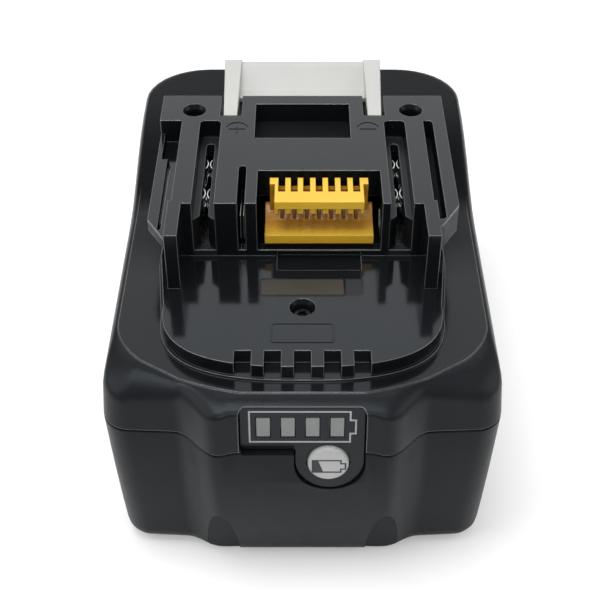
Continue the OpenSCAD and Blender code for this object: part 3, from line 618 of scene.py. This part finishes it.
@dataclass(frozen=True)
class CircuitBoard:
    """Solder mask with faint copper tracks below it."""

    name: str
    mask: Color
    track: Color
    pitch: float = 260.0
    gap: float = 0.03
    track_depth: float = 0.00003
    rough: Span = (0.28, 0.4)

    def material(self) -> bpy.types.Material:
        """Builds the finish.

        Returns:
            The material.
        """
        g = NodeGraph(self.name)
        tracks = g.add("ShaderNodeTexBrick", {
            "Vector": g.place(), "Scale": self.pitch, "Color1": (*self.mask, 1.0), "Color2": (*self.track, 1.0),
            "Mortar": (*self.mask, 1.0), "Mortar Size": self.gap}).outputs
        g.surface({
            "Base Color": tracks["Color"],
            "Roughness": g.remap(g.noise(900.0), (0.35, 0.65), self.rough),
            "Normal": g.bump(tracks["Fac"], self.track_depth, 0.6),
        })
        return g.material


@dataclass(frozen=True)
class PrintInk:
    """Thin pad-printed ink with slightly uneven cover and sheen."""

    name: str
    color: Color
    shade: Color
    rough: Span = (0.39, 0.53)
    patch: float = 2600.0
    tooth: float = 14000.0
    tooth_depth: float = 0.000004

    def material(self) -> bpy.types.Material:
        """Builds the finish.

        Returns:
            The material.
        """
        g = NodeGraph(self.name)
        patch = g.noise(self.patch, detail=3.0, rough=0.6)
        g.surface({
            "Base Color": g.mix(g.remap(patch, (0.4, 0.62)), self.color, self.shade),
            "Roughness": g.remap(patch, (0.3, 0.7), self.rough),
            "Normal": g.bump(g.noise(self.tooth, detail=2.0), self.tooth_depth, 0.7),
        })
        return g.material


class Finishes:
    """Every finish of the pack, made once."""

    def __init__(self) -> None:
        """Builds all materials."""
        black = (0.0052, 0.0060, 0.0072)
        ink_black = (0.0068, 0.0076, 0.0090)
        cool = (0.86, 0.94, 1.0)
        self.lower = MouldedPlastic(
            "case_satin_black", black, ink_black, (0.34, 0.44), specular=0.14, tint=cool, edge=0.25).material()
        # The case top's sharp outer edges take a painted highlight.
        self.upper = CaseTop(
            "case_top_black", black, ink_black, cool, shell=Sheen(0.36, 0.22), platform=Sheen(0.10, 0.5),
            upright=Sheen(0.16, 0.15), floor=Sheen(0.13, 0.34), deck=Sheen(0.26, 0.06),
            patches=self._patches()).material()
        self.mark = MouldedPlastic("polished_black_mark", black, ink_black, (0.10, 0.16), tint=cool).material()
        self.plate = MouldedPlastic(
            "bare_plate_umber", (0.034, 0.029, 0.024), (0.044, 0.039, 0.033), (0.38, 0.5),
            grain_depth=0.000008).material()
        self.latch = MouldedPlastic(
            "latch_warm_white", (0.50, 0.50, 0.485), (0.54, 0.54, 0.522), (0.36, 0.48),
            grain=7000.0, grain_depth=0.000006, subsurface=0.05, edge=0.45).material()
        # The connector's recesses take a deeper amber, which is painted shade.
        self.connector = MouldedPlastic(
            "connector_yellow", (0.76, 0.46, 0.028), (0.82, 0.52, 0.045), (0.24, 0.36),
            grain=7000.0, subsurface=0.06, painted_recess_shade=(0.40, 0.15, 0.012), edge=0.2).material()
        self.panel = MouldedPlastic(
            "gauge_panel_black", (0.0085, 0.0094, 0.0112), (0.0110, 0.0120, 0.0140), (0.16, 0.24),
            specular=0.25, tint=cool).material()
        self.lens = MouldedPlastic(
            "lens_frosted_grey", (0.20, 0.208, 0.208), (0.24, 0.247, 0.245), (0.34, 0.46),
            grain=5200.0, grain_depth=0.000012, subsurface=0.12).material()
        self.button = MouldedPlastic(
            "button_light_grey", (0.40, 0.405, 0.40), (0.45, 0.455, 0.45), (0.34, 0.46),
            subsurface=0.05, edge=0.3).material()
        self.print_light = PrintInk("gauge_print_light", (0.34, 0.345, 0.35), (0.41, 0.415, 0.42)).material()
        self.print_dark = PrintInk(
            "button_print_black", (0.014, 0.0145, 0.016), (0.021, 0.0215, 0.0235)).material()
        self.contact = SheetMetal("contact_bright", (0.66, 0.66, 0.66), (0.55, 0.54, 0.52), 0.22).material()
        self.blade = SheetMetal("blade_brass", (0.42, 0.27, 0.085), (0.34, 0.21, 0.06), 0.42).material()
        self.nickel = SheetMetal(
            "nickel_strip", (0.60, 0.60, 0.58), (0.50, 0.50, 0.47), 0.26, stretch=(0.06, 1.0, 0.06)).material()
        self.screw = SheetMetal(
            "screw_black_oxide", (0.05, 0.051, 0.054), (0.035, 0.036, 0.038), 0.34).material()
        self.spring = SheetMetal("spring_wire", (0.55, 0.56, 0.58), (0.46, 0.47, 0.48), 0.24).material()
        self.board = CircuitBoard(
            "board_black_green", (0.0045, 0.0095, 0.0075), (0.0065, 0.0145, 0.0110)).material()
        self.package = MouldedPlastic(
            "package_black", (0.017, 0.017, 0.019), (0.024, 0.024, 0.026), (0.5, 0.62)).material()
        self.lamp = MouldedPlastic(
            "lamp_resin", (0.68, 0.72, 0.66), (0.74, 0.77, 0.72), (0.2, 0.3), subsurface=0.2).material()
        self.lead = MouldedPlastic(
            "lead_amber_film", (0.46, 0.20, 0.035), (0.55, 0.26, 0.05), (0.22, 0.34)).material()
        self.inner = MouldedPlastic(
            "inner_moulding_grey", (0.03, 0.032, 0.036), (0.042, 0.044, 0.049), (0.45, 0.58)).material()
        self.paper = MouldedPlastic(
            "fibre_paper", (0.56, 0.58, 0.51), (0.63, 0.65, 0.58), (0.7, 0.85),
            grain=3000.0, grain_depth=0.00001).material()
        self.wrap = MouldedPlastic(
            "cell_film_blue", (0.022, 0.15, 0.28), (0.03, 0.19, 0.34), (0.2, 0.32)).material()

    @staticmethod
    def _patches() -> tuple[Patch, ...]:
        """Parts of the platform and its front plate that differ from the rest.

        Returns:
            The patches, each laid over the ones before it.
        """
        dull = Sheen(0.55, 0.12)
        slot_floor = Sheen(0.5, 0.6)
        flange_end = Sheen(0.3, 0.02)
        step_plate = Sheen(0.45, 0.06)
        blurred = Sheen(0.6, 0.75)
        return (
            Patch((-10.2, 10.2), (7.5, 21.4), (0.0, 61.4), dull),
            Patch((24.6, 27.6), (-20.4, 14.8), (0.0, 61.4), dull),
            Patch((17.1, 21.7), (-15.4, 14.8), (0.0, 58.2), slot_floor),
            Patch((-21.7, -17.1), (-15.4, 14.8), (0.0, 58.2), slot_floor),
            Patch((25.9, 31.0), (-23.6, -15.4), (52.0, 61.6), flange_end),
            Patch((-31.0, -25.9), (-23.6, -15.4), (52.0, 58.2), flange_end),
            Patch((-5.9, 11.5), (-22.5, -15.3), (46.0, 50.5), step_plate),
            Patch((8.2, 11.7), (-27.0, -22.5), (46.0, 50.5), blurred),
        )


class MeshKit:
    """Builds the small meshes that are laid on the CAD solids."""

    @staticmethod
    def link(name: str, mesh: bmesh.types.BMesh, frame: Matrix, material: bpy.types.Material,
             smooth: bool = False) -> bpy.types.Object:
        """Turns a mesh under construction into a scene object.

        Args:
            name: Name of the piece.
            mesh: The mesh, in drawing units.
            frame: Matrix from drawing units to metres.
            material: Finish of the piece.
            smooth: Whether its faces are shaded smooth.

        Returns:
            The linked object.
        """
        bmesh.ops.transform(mesh, matrix=frame, verts=mesh.verts)
        bmesh.ops.recalc_face_normals(mesh, faces=mesh.faces)
        data = bpy.data.meshes.new(name)
        mesh.to_mesh(data)
        mesh.free()
        data.materials.append(material)
        if smooth:
            data.polygons.foreach_set("use_smooth", [True] * len(data.polygons))
        piece = bpy.data.objects.new(name, data)
        bpy.context.scene.collection.objects.link(piece)
        return piece

    @staticmethod
    def ridge(mesh: bmesh.types.BMesh, line: Sequence[Point2], width: float, high: float,
              closed: bool = False) -> None:
        """Adds a raised line with sloped flanks.

        Args:
            mesh: Mesh under construction.
            line: Points of the line's middle, in drawing millimetres.
            width: Width at the foot.
            high: Level of the crest.
            closed: Whether the line closes on itself.
        """
        foot, crest, least_mitre = 0.5, 0.32, 0.35
        profile = ((-foot, SUNK), (-crest, high), (crest, high), (foot, SUNK))
        count = len(line)
        rows: list[list[bmesh.types.BMVert]] = []
        for i, here in enumerate(line):
            before = Vector(line[i - 1]) if (closed or i > 0) else None
            after = Vector(line[(i + 1) % count]) if (closed or i < count - 1) else None
            at = Vector(here)
            into = (at - before).normalized() if before is not None else (after - at).normalized()
            out = (after - at).normalized() if after is not None else into
            normal = Vector((-(into + out).y, (into + out).x)).normalized()
            reach = width / max(least_mitre, normal.dot(Vector((-into.y, into.x))))
            rows.append([mesh.verts.new((at.x + normal.x * s * reach, at.y + normal.y * s * reach, z))
                         for s, z in profile])
        corners = len(profile)
        for i in range(count if closed else count - 1):
            a, b = rows[i], rows[(i + 1) % count]
            for k in range(corners):
                n = (k + 1) % corners
                mesh.faces.new((a[k], a[n], b[n], b[k]))
        if not closed:
            mesh.faces.new(rows[0])
            mesh.faces.new(rows[-1])

    @staticmethod
    def slab(mesh: bmesh.types.BMesh, outline: Sequence[Point2], low: float, high: float, edge: float) -> None:
        """Adds a flat plate with a small slanted edge.

        Args:
            mesh: Mesh under construction.
            outline: Corner points, in drawing millimetres.
            low: Level of the underside.
            high: Level of the top.
            edge: Width of the slanted edge.
        """
        middle = sum((Vector(p) for p in outline), Vector((0.0, 0.0))) / len(outline)
        lower = [mesh.verts.new((x, y, low)) for x, y in outline]
        upper = []
        for x, y in outline:
            pull = (middle - Vector((x, y))).normalized() * edge
            upper.append(mesh.verts.new((x + pull.x, y + pull.y, high)))
        count = len(outline)
        for i in range(count):
            j = (i + 1) % count
            mesh.faces.new((lower[i], lower[j], upper[j], upper[i]))
        mesh.faces.new(upper)
        mesh.faces.new(lower[::-1])

    @staticmethod
    def arc(cx: float, cy: float, radius: float, start: float, end: float, steps: int) -> list[Point2]:
        """Points along an arc.

        Args:
            cx: Centre across.
            cy: Centre along.
            radius: Radius.
            start: First angle in degrees.
            end: Last angle in degrees.
            steps: Segments.

        Returns:
            The points.
        """
        angles = [math.radians(start + (end - start) * i / steps) for i in range(steps + 1)]
        return [(cx + radius * math.cos(a), cy + radius * math.sin(a)) for a in angles]

    @staticmethod
    def round_box(sides: Sides, radius: float, steps: int = 5) -> list[Point2]:
        """Outline of a rectangle with round corners.

        Args:
            sides: Left, right, lower and upper side.
            radius: Corner radius.
            steps: Segments of one corner.

        Returns:
            The points, counter-clockwise.
        """
        x0, x1, y0, y1 = sides
        corners = ((x1 - radius, y0 + radius, -90), (x1 - radius, y1 - radius, 0),
                   (x0 + radius, y1 - radius, 90), (x0 + radius, y0 + radius, 180))
        return [point for cx, cy, start in corners
                for point in MeshKit.arc(cx, cy, radius, start, start + 90, steps)]


@dataclass
class Dresser:
    """Gives carried-over CAD nodes their finish, softened edges and smooth shading."""

    nodes: dict[str, bpy.types.Object]
    weld: float = 2e-6
    flat_angle: float = 0.6
    shade_margin: float = 6.0

    def dress(self, names: Iterable[str], material: bpy.types.Material, edge_mm: float = 0.0,
              segments: int = 2, crease: float = 32.0) -> None:
        """Dresses several nodes alike.

        Args:
            names: Node names.
            material: Their finish.
            edge_mm: Width of the softened edges, or 0 for none.
            segments: Segments of a softened edge.
            crease: Least angle of an edge that counts as sharp, in degrees.
        """
        for name in names:
            node = self.nodes[name]
            node.data.materials.clear()
            node.data.materials.append(material)
            node.data.polygons.foreach_set("use_smooth", [True] * len(node.data.polygons))
            weld = node.modifiers.new("weld", "WELD")
            weld.merge_threshold = self.weld
            flat = node.modifiers.new("flat", "DECIMATE")
            flat.decimate_type = "DISSOLVE"
            flat.angle_limit = math.radians(self.flat_angle)
            if edge_mm > 0:
                bevel = node.modifiers.new("edge", "BEVEL")
                bevel.width = edge_mm * MM
                bevel.segments = segments
                bevel.limit_method = "ANGLE"
                bevel.angle_limit = math.radians(crease)
                bevel.use_clamp_overlap = True
            split = node.modifiers.new("shade", "EDGE_SPLIT")
            split.split_angle = math.radians(crease + self.shade_margin)
            even = node.modifiers.new("even", "WEIGHTED_NORMAL")
            even.keep_sharp = True
            LOG.info("dressed %s", name)


@dataclass
class CaseShell:
    """The two moulded case halves, whose edges are softened in their finish."""

    finishes: Finishes
    crease: float = 40.0

    def build(self, dresser: Dresser) -> None:
        """Dresses both halves.

        Args:
            dresser: The node dresser.
        """
        dresser.dress(["lower_case"], self.finishes.lower, crease=self.crease)
        dresser.dress(["upper_case"], self.finishes.upper, crease=self.crease)


@dataclass
class SlidePlatform:
    """Moulded marks and plain fields on the slide platform and its low front plate."""

    finishes: Finishes
    top: float = 62.0
    apron: float = 49.1
    line: float = 0.34
    rise: float = 0.14
    mark_x: float = 13.75
    mark_y: float = 11.3
    arc_lift: float = 0.2
    arc_radius: float = 2.3
    arc_span: Span = (18.0, 162.0)
    arc_steps: int = 16
    bar_half: float = 1.75
    plus_strokes: tuple[Span, ...] = ((-0.75, -1.6), (0.35, 1.3))
    plate: Sides = (-8.0, 8.0, -27.2, -22.6)
    plate_corner: float = 0.5
    plate_low: float = -0.06
    plate_high: float = 0.05
    plate_edge: float = 0.05
    rim_gap: float = 0.25
    rim_corner: float = 0.7
    rim_line: float = 0.3
    rim_rise: float = 0.1
    framed: Sides = (-5.8, 5.8, -40.6, -35.5)
    framed_corner: float = 0.6

    def build(self) -> list[bpy.types.Object]:
        """Makes the marks.

        Returns:
            The new pieces.
        """
        return [self._polarity(), self._bare_plate(), self._plate_rim(), self._framed_field()]

    def _polarity(self) -> bpy.types.Object:
        """Plus and minus signs, each under a low arc.

        Returns:
            The piece.
        """
        y = self.mark_y
        mesh = bmesh.new()
        for side in (-1, 1):
            x = side * self.mark_x
            lines = [MeshKit.arc(x, y + self.arc_lift, self.arc_radius, *self.arc_span, self.arc_steps),
                     [(x - self.bar_half, y), (x + self.bar_half, y)]]
            if side < 0:
                lines += [[(x, y + start), (x, y + end)] for start, end in self.plus_strokes]
            for line in lines:
                MeshKit.ridge(mesh, line, self.line, self.rise)
        return MeshKit.link("polarity_marks", mesh, level_matrix(self.top), self.finishes.mark)

    def _bare_plate(self) -> bpy.types.Object:
        """Plain matt field in front of the connector.

        Returns:
            The piece.
        """
        mesh = bmesh.new()
        outline = MeshKit.round_box(self.plate, self.plate_corner)
        MeshKit.slab(mesh, outline, self.plate_low, self.plate_high, self.plate_edge)
        return MeshKit.link("bare_code_field", mesh, level_matrix(self.apron), self.finishes.plate)

    def _plate_rim(self) -> bpy.types.Object:
        """Low rim round the bare field.

        Returns:
            The piece.
        """
        x0, x1, y0, y1 = self.plate
        gap = self.rim_gap
        outline = MeshKit.round_box((x0 - gap, x1 + gap, y0 - gap, y1 + gap), self.rim_corner)
        mesh = bmesh.new()
        MeshKit.ridge(mesh, outline, self.rim_line, self.rim_rise, closed=True)
        return MeshKit.link("bare_code_rim", mesh, level_matrix(self.apron), self.finishes.mark)

    def _framed_field(self) -> bpy.types.Object:
        """Empty moulded frame on the low plate.

        Returns:
            The piece.
        """
        mesh = bmesh.new()
        outline = MeshKit.round_box(self.framed, self.framed_corner)
        MeshKit.ridge(mesh, outline, self.line, self.rise, closed=True)
        return MeshKit.link("framed_field", mesh, level_matrix(self.apron), self.finishes.mark)


@dataclass
class Latch:
    """White sliding latch with its return springs."""

    finishes: Finishes
    turns: float = 7.0
    flat_turn: float = 0.6
    creep: float = 0.04
    wire: float = 0.5
    rings: int = 20
    sides: int = 10
    keep: float = 0.679

    def build(self, dresser: Dresser) -> list[bpy.types.Object]:
        """Dresses the latch and winds its springs.

        Args:
            dresser: The node dresser.

        Returns:
            The new spring pieces.
        """
        dresser.dress(["latch"], self.finishes.latch)
        return [self._spring("latch_spring_left"), self._spring("latch_spring_right")]

    def _spring(self, node: str) -> bpy.types.Object:
        """Winds one spring in the place of its CAD solid.

        Args:
            node: Name of the CAD node.

        Returns:
            The spring piece.
        """
        low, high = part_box(node)
        middle = (low + high) / 2
        thin = self.wire * MM / 2
        radius = (high.x - low.x) / 2 - thin
        base, top = low.z + thin, high.z - thin
        flat_end = self.flat_turn / self.turns
        up = Vector((0.0, 0.0, 1.0))
        angles = [2 * math.pi * k / self.sides for k in range(self.sides)]
        mesh = bmesh.new()
        rows: list[list[bmesh.types.BMVert]] = []
        count = int(self.turns * self.rings)
        for i in range(count + 1):
            t = i / count
            ease = min(1.0, max(0.0, (t - flat_end) / (1 - 2 * flat_end)))
            turn = 2 * math.pi * self.turns * t
            out = Vector((math.cos(turn), math.sin(turn), 0.0))
            lift = base + (top - base) * (self.creep * t + (1 - self.creep) * ease)
            at = Vector((middle.x, middle.y, lift)) + out * radius
            rows.append([mesh.verts.new(at + (out * math.cos(a) + up * math.sin(a)) * thin) for a in angles])
        for a, b in zip(rows, rows[1:]):
            for k in range(self.sides):
                n = (k + 1) % self.sides
                mesh.faces.new((a[k], a[n], b[n], b[k]))
        mesh.faces.new(rows[0])
        mesh.faces.new(rows[-1])
        piece = MeshKit.link("wound_" + node, mesh, Matrix.Identity(4), self.finishes.spring, smooth=True)
        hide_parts(node)
        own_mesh(piece)
        return piece


@dataclass
class Gauge:
    """Charge gauge on the front: panel, windows, print and check button."""

    finishes: Finishes
    panel: LeaningPanel = LeaningPanel()
    print_rise: float = 0.05
    outline: Sides = (-9.6, 8.65, 37.0, 44.0)
    outline_nub: Span = (1.0, 1.55)
    outline_line: float = 0.42
    sign: Sides = (1.85, 7.05, 30.45, 33.25)
    sign_nub: Span = (0.85, 0.65)
    sign_line: float = 0.36
    wedge: Span = (2.0, 1.0)
    wedge_edge: float = 0.02
    button_out: float = 0.9

    def build(self, dresser: Dresser) -> tuple[list[bpy.types.Object], list[bpy.types.Object]]:
        """Dresses the gauge and prints its symbols.

        Args:
            dresser: The node dresser.

        Returns:
            Pieces on the case, and pieces on the check button.
        """
        dresser.dress(["gauge_panel"], self.finishes.panel, edge_mm=0.3, segments=3)
        dresser.dress(["gauge_lens"], self.finishes.lens, edge_mm=0.05)
        dresser.dress(["check_button"], self.finishes.button)
        return [self._battery_outline()], [self._button_print()]

    @staticmethod
    def _cell(sides: Sides, nub: Span) -> list[Point2]:
        """Outline of a battery with its nub on the right.

        Args:
            sides: Left, right, lower and upper side.
            nub: Length and half height of the nub.

        Returns:
            The corner points, counter-clockwise.
        """
        x0, x1, z0, z1 = sides
        tip, half = x1 + nub[0], nub[1]
        middle = (z0 + z1) / 2
        return [(x0, z0), (x1, z0), (x1, middle - half), (tip, middle - half),
                (tip, middle + half), (x1, middle + half), (x1, z1), (x0, z1)]

    def _battery_outline(self) -> bpy.types.Object:
        """Light battery outline round the four windows.

        Returns:
            The piece.
        """
        mesh = bmesh.new()
        points = self._cell(self.outline, self.outline_nub)
        MeshKit.ridge(mesh, points, self.outline_line, self.print_rise, closed=True)
        return MeshKit.link("gauge_outline", mesh, self.panel.matrix(0.0), self.finishes.print_light)

    def _button_print(self) -> bpy.types.Object:
        """Plain battery sign on the check button, with a filled wedge at its left end.

        Returns:
            The piece.
        """
        mesh = bmesh.new()
        points = self._cell(self.sign, self.sign_nub)
        MeshKit.ridge(mesh, points, self.sign_line, self.print_rise, closed=True)
        x0, _, z0, z1 = self.sign
        low, high = self.wedge
        MeshKit.slab(mesh, [(x0, z0), (x0 + low, z0), (x0 + high, z1), (x0, z1)], SUNK, self.print_rise,
                     self.wedge_edge)
        return MeshKit.link("button_battery_sign", mesh, self.panel.matrix(self.button_out),
                            self.finishes.print_dark)


@dataclass
class Connector:
    """Yellow signal connector with its blades, and the three fork contacts."""

    finishes: Finishes
    metal_edge: float = 0.08

    def build(self, dresser: Dresser) -> None:
        """Dresses connector and contacts.

        Args:
            dresser: The node dresser.
        """
        forks = ["terminal_positive", "terminal_negative", "terminal_charge"]
        dresser.dress(["connector_housing"], self.finishes.connector)
        dresser.dress(["connector_contacts"], self.finishes.blade, self.metal_edge)
        dresser.dress(forks, self.finishes.contact, self.metal_edge)


@dataclass
class PowerCore:
    """Everything inside the case: cells, strips, holders, boards and screws."""

    finishes: Finishes
    cells: int = 10
    strips: int = 6

    def build(self, dresser: Dresser) -> None:
        """Dresses the inner pieces.

        Args:
            dresser: The node dresser.
        """
        f = self.finishes
        plan: tuple[tuple[list[str], bpy.types.Material, float], ...] = (
            ([f"cell_{i + 1}" for i in range(self.cells)], f.wrap, 0.4),
            ([f"bus_strip_{i + 1}" for i in range(self.strips)], f.nickel, 0.0),
            (["insulator_left", "insulator_right"], f.paper, 0.0),
            (["cell_holder_left", "cell_holder_right", "board_carrier"], f.inner, 0.1),
            (["main_board", "gauge_board"], f.board, 0.0),
            (["board_parts", "check_switch"], f.package, 0.1),
            (["gauge_lamps"], f.lamp, 0.08),
            (["gauge_lead"], f.lead, 0.0),
            (["case_screws"], f.screw, 0.1),
        )
        for names, material, edge in plan:
            dresser.dress(names, material, edge)


@dataclass(frozen=True)
class SoftBox:
    """Square soft lamp that hangs at one place and faces another, in metres."""

    name: str
    place: Point3
    target: Point3
    size: float
    radiance: float

    def build(self) -> None:
        """Hangs the lamp."""
        data = bpy.data.lights.new(self.name, "AREA")
        data.size = self.size
        data.energy = self.radiance * math.pi * self.size * self.size
        lamp = bpy.data.objects.new(self.name, data)
        lamp.location = self.place
        lamp.rotation_euler = (Vector(self.target) - Vector(self.place)).to_track_quat("-Z", "Y").to_euler()
        bpy.context.scene.collection.objects.link(lamp)


@dataclass
class Studio:
    """Pale floor, soft light and the photograph's viewpoint."""

    lens: float = 70.5
    eye: Point3 = (0.0, -0.20029, 0.19761)
    pitch: float = 41.0
    clip_start: float = 0.01
    floor_level: float = -0.05
    floor_half: float = 4000.0
    floor_cells: int = 8
    floor_color: Color = (0.9, 0.9, 0.905)
    floor_tone: float = 0.985
    floor_rough: float = 0.8
    floor_mirror: float = 0.1
    floor_glow: float = 0.2
    sky: float = 0.46
    lamps: tuple[SoftBox, ...] = (
        SoftBox("back_box", (0.0, 0.70, 0.60), (0.0, 0.0, 0.06), 0.62, 0.70),
        SoftBox("key_box", (-0.12, -0.02, 0.75), (0.0, 0.0, 0.04), 0.38, 5.8),
        SoftBox("left_box", (-0.55, -0.10, 0.42), (0.0, 0.0, 0.03), 0.50, 1.6),
        SoftBox("right_box", (0.58, -0.05, 0.38), (0.0, 0.0, 0.03), 0.50, 1.3),
        SoftBox("edge_box", (0.03, -0.62, 0.70), (0.0, 0.0, 0.04), 0.18, 11.0),
    )

    def build(self) -> None:
        """Makes floor, lamps, world and camera."""
        self._floor()
        for lamp in self.lamps:
            lamp.build()
        self._world()
        self._camera()

    def _floor(self) -> None:
        """Wide pale floor that keeps the pack's shadow."""
        mesh = bmesh.new()
        cells = self.floor_cells
        bmesh.ops.create_grid(mesh, x_segments=cells, y_segments=cells, size=self.floor_half)
        floor = MeshKit.link("floor", mesh, level_matrix(self.floor_level), self._floor_paint())

    def _floor_paint(self) -> bpy.types.Material:
        """Pale paint that shows near white to the camera.

        Returns:
            The material.
        """
        g = NodeGraph("studio_floor")
        red, green, blue = (c * self.floor_tone for c in self.floor_color)
        path = g.add("ShaderNodeLightPath").outputs
        seen = g.math("MAXIMUM", path["Is Camera Ray"], path["Is Glossy Ray"])
        seen = g.math("MAXIMUM", seen, path["Is Transmission Ray"])
        g.surface({
            "Base Color": g.mix(g.noise(4.0, detail=2.0), self.floor_color, (red, green, blue)),
            "Roughness": self.floor_rough,
            "Specular IOR Level": self.floor_mirror,
            "Emission Color": (1.0, 1.0, 1.0, 1.0),
            "Emission Strength": g.math("MULTIPLY", seen, self.floor_glow),
        })
        return g.material

    def _world(self) -> None:
        """Even grey surroundings that fill the shadows."""
        world = bpy.data.worlds.new("studio_world")
        world.use_nodes = True
        bpy.context.scene.world = world
        back = world.node_tree.nodes["Background"]
        back.inputs["Color"].default_value = (1.0, 1.0, 1.0, 1.0)
        back.inputs["Strength"].default_value = self.sky

    def _camera(self) -> None:
        """Camera at the photograph's angle."""
        data = bpy.data.cameras.new("photo_camera")
        data.lens = self.lens
        data.clip_start = self.clip_start
        camera = bpy.data.objects.new("photo_camera", data)
        camera.location = self.eye
        camera.rotation_euler = (math.radians(90.0 - self.pitch), 0.0, 0.0)
        bpy.context.scene.collection.objects.link(camera)
        bpy.context.scene.camera = camera


def ride_all(pieces: Iterable[bpy.types.Object], body: Body) -> None:
    """Puts pieces on a body.

    Args:
        pieces: The pieces.
        body: Body that carries them.
    """
    for piece in pieces:
        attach(piece, body.value)
        LOG.info("placed %s on %s", piece.name, body.value)


def main() -> None:
    """Builds the sub-assemblies in order."""
    logging.basicConfig(level=logging.INFO, format="%(name)s: %(message)s")
    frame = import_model()
    bpy.context.scene.view_settings.view_transform = "Standard"
    finishes = Finishes()
    dresser = Dresser(frame["nodes"])
    Studio().build()
    CaseShell(finishes).build(dresser)
    ride_all(SlidePlatform(finishes).build(), Body.CASE)
    ride_all(Latch(finishes).build(dresser), Body.CASE)
    on_case, on_button = Gauge(finishes).build(dresser)
    ride_all(on_case, Body.CASE)
    ride_all(on_button, Body.BUTTON)
    Connector(finishes).build(dresser)
    PowerCore(finishes).build(dresser)


if __name__ == "__main__":
    main()
